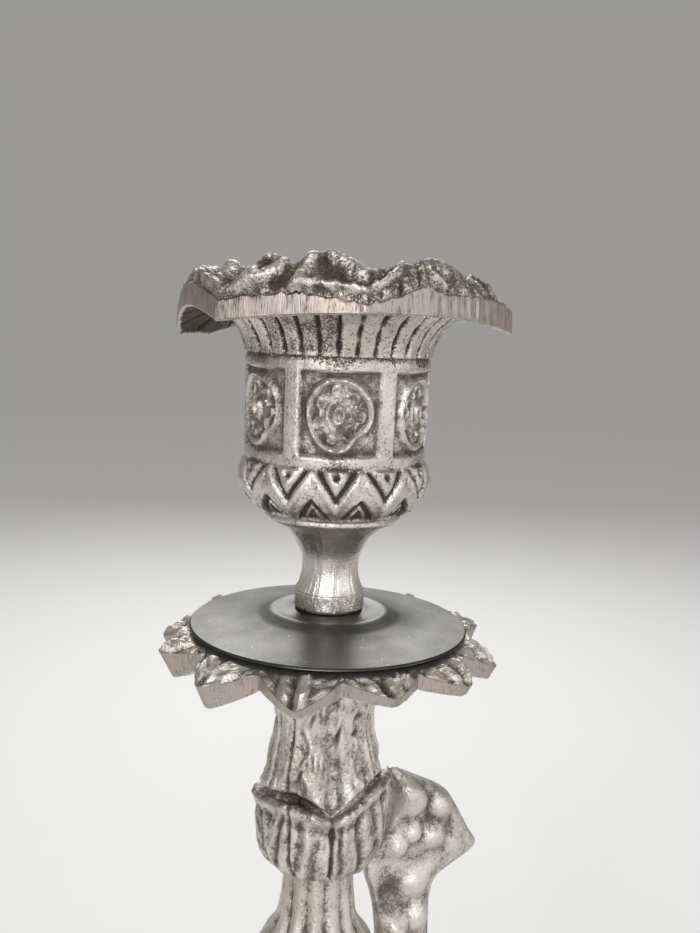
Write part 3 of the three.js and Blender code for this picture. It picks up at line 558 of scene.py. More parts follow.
def make_arm(side, eye_level, move=None):
    around = turn_angles(48)
    path = smooth_path([(-reach, height) for reach, height in ARM_PATH], 260)
    path = np.concatenate([path, [(-ARM_PATH[-1][0], ARM_PATH[-1][1])]])
    ahead = np.gradient(path, axis=0)
    ahead /= np.linalg.norm(ahead, axis=1, keepdims=True)
    share = np.linspace(0, 1, len(path))
    wide = (ARM_WIDE + (ARM_END - ARM_WIDE) * share) / 2
    deep = (ARM_DEEP + (ARM_END - ARM_DEEP) * share) / 2
    swell = 1 + 0.14 * np.sin(3 * np.pi * share) ** 2
    out = deep[:, None] * swell[:, None] * np.cos(around)
    side_way = wide[:, None] * swell[:, None] * np.sin(around)
    x = path[:, :1] - ahead[:, 1:] * out
    z = path[:, 1:] + ahead[:, :1] * out
    scroll = np.stack([x, side_way, z], -1)
    run = share[:, None] * 215
    wrap = np.abs(np.sin(np.pi * (run / 9.0 + 0.45 * np.abs(np.sin(around))))) ** 0.7
    spine = bump_at((around[None, :] + np.pi) % (2 * np.pi) - np.pi, 0.16)
    relief = 0.75 * wrap - 0.45 + 0.5 * spine + sand(wrap.shape, 31, 0.018)
    relief *= np.clip(np.minimum(share, 1 - share) * 30, 0, 1)[:, None]
    normal = [-ahead[:, 1:] * np.cos(around), np.sin(around) + 0 * out, ahead[:, :1] * np.cos(around)]
    hollow = np.clip(0.3 + 1.2 * (blurred(relief, 3, 3) - relief), 0, 1)
    scroll = scroll + np.stack(normal, -1) * relief[..., None]
    pieces = [(scroll[::-1], hollow[::-1], False)]

    angles = turn_angles(96)
    eye_hole, eye_top = SPIGOT_RADIUS + 0.35, eye_level + EYE_HEIGHT
    eye_edge, eye_groove = EYE_RADIUS - 0.4, EYE_RADIUS - 0.5
    eye = outline(
        (4, (eye_edge, eye_level)),
        (2, (EYE_RADIUS, eye_level + 0.5)),
        (14, (eye_groove, eye_level + 1.6), (EYE_RADIUS, eye_level + 3), (eye_groove, eye_level + 4.4),
         (EYE_RADIUS, eye_level + 5.5)),
        (2, (eye_edge, eye_top)),
        (4, (eye_hole, eye_top)),
        (3, (eye_hole, eye_level)),
    )
    eye_grid, eye_hollow = raised(spun(eye, angles), sand((len(eye), len(angles)), 32, 0.015))
    pieces.append((eye_grid, eye_hollow, True))

    low, top = SOCKET_TOP - SOCKET_HEIGHT, SOCKET_TOP
    socket = outline(
        (2, (3.7, low)),
        (18, (4.6, low + 3), (7.0, low + 6.6), (7.9, low + 9)),
        (8, (7.6, low + 9.8), (7.9, low + 10.8), (7.6, top)),
        (3, (ROD_HOLE, top)),
        (4, (ROD_HOLE, low)),
    )
    depth = np.interp(socket[:, 1], [low + 1, low + 5, low + 9], [0, 1, 0])
    flutes = 0.5 * np.abs(np.cos(8 * angles)) ** 0.6 * depth * (socket[:, 0] > ROD_HOLE + 0.2)
    socket_grid, socket_hollow = raised(spun(socket, angles), flutes)
    pieces.append((socket_grid + np.array([-ARM_REACH, 0, 0]), socket_hollow, True))
    solid(side + "_arm_casting", pieces, sand_cast_silver, side + "_branch", [side + "_arm"],
          move=move)


LOWER_EYE = SEAT_FLANGE + EYE_GAP
make_arm("left", LOWER_EYE)
make_arm("right", LOWER_EYE + EYE_HEIGHT + EYE_GAP, half_turn)

# A light's pieces are threaded on its rod. Their heights are measured from its seat, the top of the leaf stem,
# and the three lights are alike.


def light_place(side):
    """What moves a light's own millimetres to where that light stands."""
    if side == "centre":
        return lambda points: points + np.array([0, 0, CENTRE_SEAT])
    beside = np.array([-ARM_REACH, 0, OUTER_SEAT])
    if side == "left":
        return lambda points: points + beside
    return lambda points: half_turn(points + beside)


def on_each_light(name, grids, metal, cad_name, sharp=38, finishes=()):
    for side in ("left", "centre", "right"):
        carrier = "column" if side == "centre" else side + "_branch"
        body = side + "_candle_cup" if cad_name == "cup" else carrier
        solid(f"{side}_{name}", grids, metal, body, [f"{side}_{cad_name}"], sharp, light_place(side),
              finishes)


def away_from(angles, degrees, period=360.0):
    """How far each angle is from the nearest one of a ring of angles, in degrees, with its sign."""
    return (np.degrees(angles) - degrees + period / 2) % period - period / 2


# The knop under the leaf stem is a gadrooned casting. Its ribs swell from a narrow neck and close on a foot
# ring.
KNOP_TOP, KNOP_FOOT = -41.1, -75.0
KNOP_LOBES = 12


def make_knops():
    angles = turn_angles(256)
    profile = outline(
        (3, (6.7, KNOP_FOOT)),
        (8, (6.6, -74.2), (5.7, -72.8), (7.0, -71.4)),
        (6, (7.8, -70.7), (7.1, -69.8)),
        (64, (9.3, -68.4), (11.4, -66), (12.2, -63.2), (11.9, -60.2), (10.5, -57.4), (8.6, -54.8),
         (7.3, -51.8), (6.7, -48), (6.4, -43)),
        (4, (6.3, KNOP_TOP)),
        (3, (ROD_HOLE, KNOP_TOP)),
        (4, (ROD_HOLE, KNOP_FOOT)),
    )
    radius, height = profile[:, 0], profile[:, 1]
    share = np.interp(height, [-70, -66, -56, -50, -42], [0, 0.85, 0.95, 0.7, 0.3]) * (radius > 5)
    rib = np.abs(np.cos(KNOP_LOBES * angles / 2)) ** 1.3
    relief = share * (rib - 0.65) + sand((len(profile), len(angles)), 41, 0.02) * (radius > 5)
    grid, hollow = raised(spun(profile, angles), relief)
    on_each_light("knop_casting", [(grid, hollow, True)], worn_silver, "knop")


make_knops()

# The leaf stem is a casting of three upright leaves, ribbed and toothed, over a calyx of three lower ones
# whose rolled lips stand clear of them, with hollows behind them darkened by painted shade.
STEM_HEIGHT = 41.0
STEM_LEAVES = 3
LEAF_TURN = 253.0  # where two leaves meet
LEAF_SPAN = 360.0 / STEM_LEAVES
STEM_CHASED = slice(4, 176)  # steps of its outline, from the foot's edge to the seat's
STEM_GROOVE = slice(76, 98)  # the groove behind the rolled lip
# Dimples of an upright leaf: millimetres beside its middle, height, half width, half height, depth
LEAF_DIMPLES = [(1.0, -13.2, 0.5, 1.9, 0.6), (4.6, -13.2, 1.0, 0.6, 0.55), (-4.1, -10.6, 0.35, 1.5, 0.45),
                (5.2, -10.2, 1.2, 0.4, 0.4), (7.4, -7.4, 0.45, 1.4, 0.4), (-5.6, -20.5, 0.3, 2.0, 0.4),
                (-0.2, -8.0, 0.8, 2.6, 0.4)]


def make_leaf_stems():
    angles = turn_angles(330)
    beside = away_from(angles, LEAF_TURN, LEAF_SPAN)
    across = np.abs(beside) / (LEAF_SPAN / 2)
    lip_rise = 3.3 + 1.9 * np.cos(angles - np.radians(LEAF_TURN + LEAF_SPAN / 2))
    lip = -27.9 + lip_rise * np.sin(np.pi / 2 * across) ** 0.85
    valley = bump_at(beside, 5.5)
    calyx = 12.6 - 1.0 * valley
    apart = bump_at(beside + 37, 19)  # where the upper leaf stands away from the lip
    edge = 11.1 - 0.6 * valley - 1.3 * apart
    floor = 10.5 - 2.2 * apart  # of the groove behind the lip
    profile = outline(
        (3, (6.4, -STEM_HEIGHT)),
        (62, (8.8, -40.6), (10.5, -38.9), (11.6, -36), (11.9, -32.6), (calyx - 0.4, lip - 2),
         (calyx, lip - 0.6)),
        (7, (calyx - 0.5, lip + 0.1), (calyx - 1.5, lip - 0.3)),
        (26, (0.5 * calyx + 0.5 * floor - 0.4, lip - 0.6 - 0.9 * apart),
         (floor + 0.3, lip - 0.7 - 1.3 * apart), (floor - 0.2, lip - 0.2 - 0.6 * apart),
         (floor - 0.1, lip + 0.3), (edge - 0.9, lip + 0.7)),
        (0, (edge - 0.8, lip + 0.7)),  # a step of 0.1 mm under the upper leaf's edge
        (6, (edge, lip + 1.1), (edge - 0.05, lip + 2)),
        (74, (10.2 - 0.5 * valley, lip + 4.2), (9.0 - 0.3 * valley, -14.5), (8.9 - 0.3 * valley, -11.5),
         (9.5 - 0.4 * valley, -7.5), (9.5 - 0.4 * valley, -4), (9.4, -0.6)),
        (2, (9.1, 0)),
        (3, (ROD_HOLE, 0)),
        (4, (ROD_HOLE, -STEM_HEIGHT)),
    )
    radius, height = profile[:, 0], profile[:, 1]
    outside, shaded_groove = on_steps(profile, STEM_CHASED), on_steps(profile, STEM_GROOVE)
    upper = plateau(lip + 1.2 - height, 0.4) * outside
    lower = plateau(height - lip, 0.4) * outside
    waves = np.random.default_rng(43).normal(0, 1, 12)
    waver = sum(w * np.sin(k * np.radians(beside) + w * height * 0.25) for k, w in enumerate(waves, 2)) * 0.8
    side_way = beside * 0.165

    ribs = 0.08 * np.cos(np.radians(beside + waver) * 18)
    ribs = ribs + 0.16 * np.cos(np.radians(beside - waver) * 9 + 0.15 * height)
    seam = -0.75 * bump_at(side_way - 0.06 * waver, 1.5)
    midrib = -0.5 * bump_at(side_way + 7.9, 0.3) + 0.3 * bump_at(side_way + 7.1, 0.55)
    midrib = midrib - 0.4 * bump_at(side_way - 8.1, 0.35) + 0.3 * bump_at(side_way - 7.4, 0.5)
    midrib = midrib * plateau(height + 3, 1.5)
    comb = np.abs(np.sin(side_way * np.pi / 1.15)) ** 0.6
    row_one = bump_at(height + 7.2 - 0.3 * side_way, 1.1) * bump_at(side_way + 2.6, 1.7)
    row_two = bump_at(height + 17.6 - 0.2 * side_way, 1.3) * bump_at(side_way + 3.4, 2.3)
    row_three = bump_at(height + 20.4 + 0.3 * side_way, 1.2) * bump_at(side_way - 5, 2)
    teeth = 0.4 * (comb - 0.4) * (row_one + row_two + 0.8 * row_three)
    dimples = sum(-deep * bump_at((side_way - at) - 0.35 * (height - low), wide) * bump_at(height - low, tall)
                  for at, low, wide, tall, deep in LEAF_DIMPLES)
    scallops = 0.3 * bump_at(side_way + 4.6 + 0.7 * np.sin(height * 0.9), 0.5) * plateau(height + 5, 2)
    scallops = scallops + 0.28 * bump_at(side_way - 4.2 - 0.8 * np.sin(height * 0.8 + 1), 0.55)
    blade = upper * (ribs + seam + midrib + teeth + dimples + scallops)

    fan = beside * (1.12 + 0.025 * (height + 30)) + waver
    below = np.clip((lip - 1.2 - height) / 3.0, 0, 1) * np.interp(height, [-40.8, -39], [0, 1])
    rib_low = np.abs(np.cos(np.radians(fan) * 9 + 0.4)) ** 0.9 + 0.16 * np.cos(np.radians(fan) * 31)
    fold = -0.9 * bump_at(beside * 0.2, 0.45) * plateau(height + 29, 1.5)
    fold = fold - 0.5 * bump_at(beside * 0.2 + 7.6, 0.35)
    roll = 0.4 * bump_at(height - lip + 1.1, 1.0) - 0.2 * bump_at(height - lip + 3.3, 0.9)
    cup_leaf = lower * (below * 0.65 * (rib_low - 0.5) + fold + roll)
    relief = blade + cup_leaf + outside * sand(radius.shape, 44, 0.035)
    grid, hollow = raised(spun(profile, angles), relief)
    # Painted shade in the groove behind the rolled lip, deepest where the upper leaf stands away from it; the
    # calyx below the lip is also a little darker.
    hollow = np.clip(0.38 + 0.6 * (hollow - 0.32) + 0.45 * shaded_groove * apart + 0.09 * lower, 0, 1)
    on_each_light("leaf_stem_casting", [(grid, hollow, True)], worn_silver, "leaf_stem")


make_leaf_stems()

# The star plate is a casting of twelve drooping leaf tips, rough and veined on top, with a thick edge filed
# upright.
STAR_TIPS = 12
STAR_TURN = 232.7
STAR_TIP_RADIUS, STAR_NOTCH_RADIUS = 30.7, 25.4
# The underside and the top of each tip, from the first one round, and how much further it reaches. The other
# six are like these.
STAR_LOWS = (-1.5, 0.2, -0.9, -2.6, -2.7, -3.1)
STAR_TOPS = (0.2, 2.1, 1.2, 0.0, 2.2, 1.3)
STAR_LONGER = (0.0, 0.0, 0.0, 0.0, 0.0, 1.0)
STAR_UNDERCUT = 0.5  # how far a tip's lower edge is drawn in, for its thickness
STAR_BOSS_RADIUS, STAR_BOSS_TOP = 8.4, 6.8
STAR_FILED = slice(32, 46)  # steps of its outline up the filed edge
STAR_VEINED = slice(46, 112)  # and from there in to the foot of the boss


def make_star_plates():
    angles = turn_angles(384)
    span = 360.0 / STAR_TIPS
    beside = away_from(angles, STAR_TURN, span)
    which = np.round((np.degrees(angles) - STAR_TURN) / span).astype(int) % STAR_TIPS
    chance = np.random.default_rng(51)
    longer = np.array(STAR_LONGER)[which % 6]
    skew = chance.normal(0, 1.6, STAR_TIPS)[which]
    share = np.clip(np.abs(beside + skew * (1 - np.abs(beside) / (span / 2))) / (span / 2), 0, 1)
    point = np.clip(1.08 - share, 0, 1) ** 1.05 / 1.08**1.05 * 1.08
    point = np.minimum(point, 1)
    edge = STAR_NOTCH_RADIUS + (STAR_TIP_RADIUS - STAR_NOTCH_RADIUS + longer) * point
    low = 0.8 + (np.array(STAR_LOWS)[which % 6] - 0.8) * point**0.85
    top = 3.5 + (np.array(STAR_TOPS)[which % 6] - 3.5) * point**0.85
    lower = edge - STAR_UNDERCUT * (top - low) * point
    profile = outline(
        (4, (10.2, 0.1)),
        (26, (16, 0.6), (lower - 4, low + 0.35), (lower - 0.25, low)),
        (2, (lower, low + 0.2)),
        (12, (edge - 0.1, top - 0.15)),
        (2, (edge - 0.3, top)),
        (74, (edge - 1.4, 0.85 * top + 0.9), (edge - 4.2, 0.15 * top + 3.3), (17, 3.4), (10.5, 2.6),
         (STAR_BOSS_RADIUS, 2.5)),
        (3, (STAR_BOSS_RADIUS, STAR_BOSS_TOP)),
        (3, (ROD_HOLE, STAR_BOSS_TOP)),
        (3, (ROD_HOLE, 0.1)),
    )
    radius = profile[:, 0]
    top_rows, face_rows = on_steps(profile, STAR_VEINED), on_steps(profile, STAR_FILED)
    inward = edge - radius
    sideways = np.radians(beside) * radius
    fade = 0.35 + 0.65 * np.clip(inward / 1.2, 0, 1)
    drift = chance.normal(0, 1, STAR_TIPS)[which]
    crease = np.abs(np.sin(1.05 * sideways + 0.22 * drift * inward + 1.7 * drift)) ** 0.55 - 0.6
    vein = 0.8 * bump_at(sideways - 0.9 - (0.16 + 0.1 * drift) * inward, 0.5)
    vein = vein - 0.9 * bump_at(sideways + 0.4 + 0.08 * drift * inward, 0.45)
    gap = -1.0 * bump_at(np.abs(beside) - span / 2, 2.2) * np.clip(inward / 1.5 + 0.1, 0, 1)
    rough = blurred(chance.standard_normal(radius.shape), 1, 1) * 0.75
    rough = rough + blurred(chance.standard_normal(radius.shape), 3, 2) * 1.6
    files = chance.standard_normal(len(angles)) * 0.05
    files = (files + np.roll(files, 1)) / 1.4
    under = np.where(inward > 0.3, np.clip((25.8 - radius) / 1.2, 0, 1), 0)
    relief = top_rows * fade * (0.9 * crease + vein + gap + rough) * (1 - 0.9 * under) + face_rows * files
    grid, hollow = raised(spun(profile, angles), relief)
    hollow = np.where(top_rows > 0, np.clip(0.27 + 0.5 * (hollow - 0.32), 0, 1), 0.3)
    on_each_light("star_plate_casting", [(grid, hollow, True)], coarse_silver, "star_plate",
                  finishes=[(filed_silver, face_rows > 0)])


make_star_plates()

# The pan is spun from pewter-grey sheet, smooth and dished upside down, with a flat boss under the cup and a
# thin edge. Its greys are set darker than the sheet's own, as a painted reflection of dark surroundings. It is
# cloudy and finely grained, and pale specks have settled on it.
PAN_RADIUS = 24.9
PAN_BOSS_RADIUS, PAN_BOSS_TOP, PAN_THICK = 10.6, 7.8, 0.75
# Pewter greys set darker, as a painted reflection of dark surroundings
PEWTER_WITH_PAINTED_REFLECTION = "#5F5E5B"
PEWTER_DARK_WITH_PAINTED_REFLECTION = "#403F3C"
PEWTER_SPECK = "#C9C7C2"


def spun_pewter():
    """Cloudy grey sheet, darker as a painted reflection of dark surroundings, finely grained by the spinning,
    with pale specks lying on it.
    """
    material, tree, shader, place = new_finish("spun_pewter")
    cloud = node(tree, "ShaderNodeTexNoise", {"Vector": place, "Scale": 1000 / 8.0, "Detail": 5.0})
    share = node(tree, "ShaderNodeMapRange", (cloud, 0.35, 0.7))
    sheet = {0: share, 6: linear(PEWTER_WITH_PAINTED_REFLECTION), 7: linear(PEWTER_DARK_WITH_PAINTED_REFLECTION)}
    cloudy = node(tree, "ShaderNodeMix", sheet, 2, data_type="RGBA")
    spots = node(tree, "ShaderNodeTexVoronoi", {"Vector": place, "Scale": 1000 / 2.4})
    speck = node(tree, "ShaderNodeMapRange", (spots, 0.03, 0.09, 0.5, 0.0))
    colour = node(tree, "ShaderNodeMix", {0: speck, 6: cloudy, 7: linear(PEWTER_SPECK)}, 2, data_type="RGBA")
    grain = node(tree, "ShaderNodeTexNoise", {"Vector": place, "Scale": 1000 / 0.5, "Detail": 3.0})
    rough = node(tree, "ShaderNodeMapRange", (grain, 0.0, 1.0, 0.3, 0.46))
    bump = node(tree, "ShaderNodeBump", {"Height": grain, "Strength": 0.3, "Distance": 0.00003})
    join(shader, {"Base Color": colour, "Metallic": 1.0, "Roughness": rough, "Normal": bump})
    return material


pewter_sheet_painted_reflection = spun_pewter()


def make_pans():
    angles = turn_angles(192)
    under = PAN_BOSS_TOP - PAN_THICK
    profile = outline(
        (3, (PAN_BOSS_RADIUS - 1.2, under)),
        (20, (13, 5.6), (19, 4.85), (PAN_RADIUS - 0.4, 4.45)),
        (6, (PAN_RADIUS, 4.7), (PAN_RADIUS - 0.3, 5.05)),
        (60, (20, 5.4), (16, 5.85), (13, 6.5), (11.6, 7.05), (PAN_BOSS_RADIUS, 7.5), (10.1, 7.64), (9.4, 7.6),
         (8.4, 7.55), (7.2, 7.62), (6.6, 7.74)),
        (6, (6.3, PAN_BOSS_TOP), (ROD_HOLE, PAN_BOSS_TOP)),
        (2, (ROD_HOLE, under)),
    )
    grid = spun(profile, angles)
    on_each_light("spun_pan", [(grid, np.full(grid.shape[:2], 0.3), True)], pewter_sheet_painted_reflection, "pan",
                  sharp=30)


make_pans()

# The cup is one casting: ferrule, waisted neck, a bowl with a zigzag cut round it, a body with six sunk panels
# that hold medallions, a flare of flat staves, and a rocaille rim that rises and droops round a row of curls.
CUP_TURN = 244.2
CUP_FOOT = 7.9
CANDLE_BORE = 11.2
CUP_FLOOR, POCKET_FLOOR, POCKET_RADIUS = 36.5, 30.1, 6.6
PANEL_MIDDLE, PANEL_HALF_TALL, PANEL_HALF_WIDE = 44.05, 6.8, 6.8
STAVES = 34
CREST_RADIUS, CREST_BASE = 23.4, 66.1
# Tips of the rim: angle from the first panel in degrees, radius, underside, thickness, and how far the edge
# arches up on its way to the next.
RIM_TIPS = [(-121, 28.8, 55.2, 2.6, 0.3), (-103, 29.5, 55.4, 2.6, 3.4), (-43, 29.0, 58.2, 3.1, 0.4),
            (6, 27.6, 60.0, 1.6, 1.0), (77, 29.5, 57.8, 4.0, 1.8), (137, 29.0, 58.2, 2.8, 0.5),
            (186, 27.6, 60.0, 1.8, 0.9)]
# Curls of one half of the crest: angle, half width and rise. The other half is the same, turned about, here
# and in the strokes.
CREST_BUMPS = [(-103, 15, -3.6), (-75, 7, 0.8), (-50, 8, 1.2), (-29, 8, 2.3), (-14, 8, 1.7), (-5, 9, 2.5),
               (14, 13, 0.8), (34, 18, 2.4), (64, 6, 2.2)]
# Ridges and hollows on the slope between edge and crest: points of (degrees, millimetres above the edge),
# half width, and how far each stands out.
STROKES = [
    ([(-17, 1.2), (-16.4, 3.2), (-14, 5.6), (-8, 7.2), (-2, 6.8), (2, 5.2), (6, 4.2)], 1.05, 1.0),
    ([(-8.5, 5.0), (-6.5, 4.0), (-3, 3.6)], 1.15, -1.4),
    ([(0, 3.6), (6, 3.2), (12, 3.7), (18, 4.8)], 0.8, -0.75),
    ([(-19, 1.5), (-13, 1.9), (-8, 2.1), (-2, 2.2), (6, 2.0), (13, 2.7), (19, 3.9), (25, 5.4)], 0.8, 0.95),
    ([(-12.5, 0.3), (-12.2, 1.2)], 0.4, 0.55),
    ([(27, 5.4), (28.5, 3.8), (31, 2.4), (36, 1.2)], 0.6, 0.55),
    ([(31, 5.0), (38, 4.6), (46, 3.6)], 2.4, 0.7),
    ([(36, 2.6), (41, 2.2)], 0.7, -0.55),
    ([(30, 3.4), (33, 3.0)], 0.5, -0.5),
    ([(45, 2.5), (48, 1.9)], 0.6, -0.5),
    ([(56, 3.6), (56.5, 3.2)], 1.25, 0.9),
    ([(52, 2.4), (51, 1.2)], 0.6, -0.5),
    ([(66, 2.4), (72, 1.6)], 1.0, 0.7),
    ([(61, 2.6), (63, 1.2)], 0.7, -0.5),
    ([(-21, 5.8), (-24, 4.2), (-29, 2.5), (-36, 1.5)], 1.2, 0.95),
    ([(-24, 6.1), (-28, 6.2), (-33, 5.8), (-36, 4.6), (-34, 3.4)], 0.7, 0.7),
    ([(-30.5, 4.9), (-30.2, 4.5)], 0.75, -1.2),
    ([(-15.5, 4.6), (-19.5, 2.6), (-25, 1.2)], 0.85, -0.65),
    ([(-60, 1.7), (-52, 1.2), (-42, 1.4), (-36, 2.0), (-31, 3.1)], 1.0, 0.9),
    ([(-49, 5.0), (-46, 4.6)], 1.7, 0.7),
    ([(-43, 3.6), (-38, 3.4), (-37, 4.6)], 0.85, -0.8),
    ([(-53, 3.2), (-57, 2.8)], 0.8, -0.65),
    ([(-66, 4.2), (-64, 3.8)], 1.6, 0.7),
    ([(-62, 1.0), (-70, 1.8), (-78, 2.8), (-86, 2.0)], 0.85, 0.65),
    ([(-73, 3.2), (-77, 4.0)], 0.9, -0.6),
    ([(-92, 1.2), (-98, 1.8)], 1.1, 0.55),
]


def both_halves(items):
    return [(item[0] + turn, *item[1:]) for turn in (0, 180) for item in items]


def rim_edge(degrees):
    """The rim's edge at each angle: its radius, its underside and its thickness."""
    radius, low, thick = (np.empty_like(degrees) for _ in range(3))
    for here, after in zip(RIM_TIPS, RIM_TIPS[1:] + RIM_TIPS[:1]):
        span = (after[0] - here[0]) % 360
        along = (degrees - here[0]) % 360
        inside = along <= span
        share = along[inside] / span
        arch = np.sin(np.pi * share) ** 0.85
        radius[inside] = here[1] + (after[1] - here[1]) * share - 2.2 * arch
        low[inside] = here[2] + (after[2] - here[2]) * share + here[4] * arch
        thick[inside] = here[3] + (after[3] - here[3]) * share + 0.9 * arch
    thick += 1.5 * bump_at(np.maximum(degrees - 28, 0.6 * (28 - degrees)), 5)
    return radius, low, thick


def distance_to(across, up, points):
    """How far each place is from a broken line."""
    nearest = np.full(np.broadcast(across, up).shape, 99.0)
    for (x0, y0), (x1, y1) in zip(points, points[1:]):
        dx, dy = x1 - x0, y1 - y0
        share = np.clip(((across - x0) * dx + (up - y0) * dy) / (dx * dx + dy * dy + 1e-9), 0, 1)
        nearest = np.minimum(nearest, np.hypot(across - x0 - share * dx, up - y0 - share * dy))
    return nearest


def make_cups():
    alpha = turn_angles(360)
    degrees = (np.degrees(alpha) + 180) % 360 - 180
    edge, low, thick = rim_edge(degrees)
    crest = CREST_BASE + sum(rise * bump_at(away_from(alpha, at), half * 0.8)
                             for at, half, rise in both_halves(CREST_BUMPS))
    chance = np.random.default_rng(61)
    torn = chance.normal(0, 0.13, len(alpha))
    torn = torn + 0.2 * np.abs(np.sin(np.radians(degrees) * 29))
    top = low + thick + torn - 0.1
    stretches = {
        "foot": (3, (5.9, CUP_FOOT)),
        "foot edge": (2, (6.2, 8.3)),
        "ferrule": (8, (6.2, 10.8)),
        "ferrule groove": (4, (5.95, 11.05), (6.15, 11.35)),
        "neck": (20, (5.6, 12.3), (5.05, 14.4), (5.0, 16.2), (5.4, 18.2), (6.5, 20.2), (7.9, 22.1),
                 (10.3, 23.8)),
        "bowl foot": (8, (11.6, 24.4), (12.1, 25.0), (11.9, 25.5)),
        "bowl": (46, (13.3, 26.2), (14.9, 27.4), (16.0, 29.1), (16.65, 30.9), (16.75, 32.4), (16.3, 34.2),
                 (15.95, 35.3), (15.9, 36.4)),
        "body": (56, (16, 44), (16.1, 53)),
        "flare foot": (4, (16.45, 53.4), (16.4, 53.9)),
        "flare": (18, (16.9, 55.6), (18.3, 58), (20.6, 60.1)),
        "rim underside": (10, (0.5 * edge + 10.3, 0.5 * low + 30.4), (edge - 0.4, low)),
        "rim lower corner": (2, (edge, low + 0.3)),
        "rim face": (8, (edge - 0.2, top - 0.15)),
        "rim upper corner": (2, (edge - 0.6, top + 0.1)),
        "crest": (40, (0.5 * edge + 0.5 * CREST_RADIUS + 0.4, 0.5 * (top + crest) + 0.2),
                  (CREST_RADIUS + 0.5, crest - 0.35), (CREST_RADIUS - 0.4, crest)),
        "inner slope": (24, (CREST_RADIUS - 1.4, crest - 0.4), (19, 0.55 * crest + 28.8), (14.5, 63.9),
                        (12.4, 63.5)),
        "mouth": (2, (CANDLE_BORE, 62.3)),
        "bore": (3, (CANDLE_BORE, CUP_FLOOR)),
        "floor": (3, (POCKET_RADIUS, CUP_FLOOR)),
        "pocket": (2, (POCKET_RADIUS, POCKET_FLOOR)),
        "pocket floor": (2, (ROD_HOLE, POCKET_FLOOR)),
        "rod hole": (3, (ROD_HOLE, CUP_FOOT)),
    }
    profile = outline(*stretches.values())
    radius, height = profile[:, 0], profile[:, 1]
    names = list(stretches)
    starts = np.cumsum([0] + [steps for steps, *_ in stretches.values()])

    def rows(first, last=None):
        """1 on one stretch of the outline, or from one to another, and 0 elsewhere."""
        return on_steps(profile, slice(starts[names.index(first)] + 1, starts[names.index(last or first) + 1]))

    waver_a = 0.16 * np.sin(np.radians(degrees) * 5 + 1) + 0.1 * np.sin(np.radians(degrees) * 11)
    waver_z = 0.14 * np.sin(np.radians(degrees) * 7 + 2) + 0.08 * np.sin(height * 1.1)

    panel_at = np.radians(away_from(alpha, 0, 60)) * 16 + waver_a
    panel_up = height - PANEL_MIDDLE + waver_z
    sunk = plateau(np.abs(panel_at) - PANEL_HALF_WIDE, 0.4) * plateau(np.abs(panel_up) - PANEL_HALF_TALL, 0.4)
    out = np.hypot(panel_at, panel_up * 0.93)
    turn = np.arctan2(panel_up, panel_at)
    bent = out + 0.8 * bump_at(turn + 0.85, 0.3) - 0.12 * np.sin(3 * turn + 1)
    ring = 0.95 * bump_at(bent - 5.35, 0.5)
    toothed = 3.8 + 0.55 * np.tanh(2.5 * np.cos(7 * turn + 0.6)) + 0.1 * np.cos(3 * turn + 2)
    wavy = 0.9 * bump_at(out - toothed, 0.34) * (0.7 + 0.3 * np.cos(turn + 0.6))
    facing = np.abs((turn + np.pi * 2) % (2 * np.pi) - np.pi)
    eye = 0.45 * bump_at(out - 2.2, 0.3) * plateau(facing - 1.3, 0.4)
    eye = eye + 0.75 * bump_at(np.hypot(panel_at / 0.9, panel_up / 1.25) - 1, 0.32)
    chased = 0.05 * blurred(chance.standard_normal(radius.shape), 1, 1)
    panels = rows("body") * sunk * (-0.85 + np.maximum(ring, wavy + eye) + chased)

    zig_at = np.radians(away_from(alpha, 0, 30)) * 16.2 + waver_a
    arm = np.abs(zig_at) - (height - 29.9) * 0.62
    arms = plateau(height - 34.9, 0.25) * plateau(29.5 - height, 0.2)
    vee = -0.85 * bump_at(arm * 0.85, 0.42) * arms
    within = plateau(arm + 1.2, 0.3) * arms
    wedge = within * (0.2 - 0.75 * bump_at(np.hypot(zig_at, height - 33.9), 0.55))
    band = 0.28 * bump_at(arm * 0.85 - 1.15, 0.55) * plateau(height - 35.0, 0.5)
    low_at = np.abs(np.radians(away_from(alpha, 15, 30)) * 15 + waver_a)
    low_tooth = plateau(low_at - (30.1 - height) * 0.82, 0.3) * plateau(25.9 - height, 0.25)
    tooth = -0.85 * low_tooth + 0.55 * low_tooth * bump_at(low_at - (28.7 - height) * 0.6, 0.3)
    bowl = rows("bowl") * (vee + wedge + band + tooth - 0.2 * bump_at(height - 35.2, 0.35))

    stave_at = np.radians(away_from(alpha, 3.3, 360 / STAVES)) * radius
    half = np.pi * radius / STAVES
    stave_number = np.round(np.degrees(alpha - np.radians(3.3)) * STAVES / 360).astype(int) % STAVES
    stave_tone = chance.normal(0, 0.1, STAVES)[stave_number]
    seams = -0.65 * bump_at(np.abs(stave_at) - half + 0.1 * np.sin(height * 2.2 + alpha * 9), 0.3)
    seams = seams * np.interp(height, [53.6, 54.4, 60, 60.8], [0.5, 1, 1, 0.4])
    stave = rows("flare foot", "rim underside") * seams
    shelf = -0.35 * rows("body", "flare foot") * bump_at(height - 53.0, 0.3)

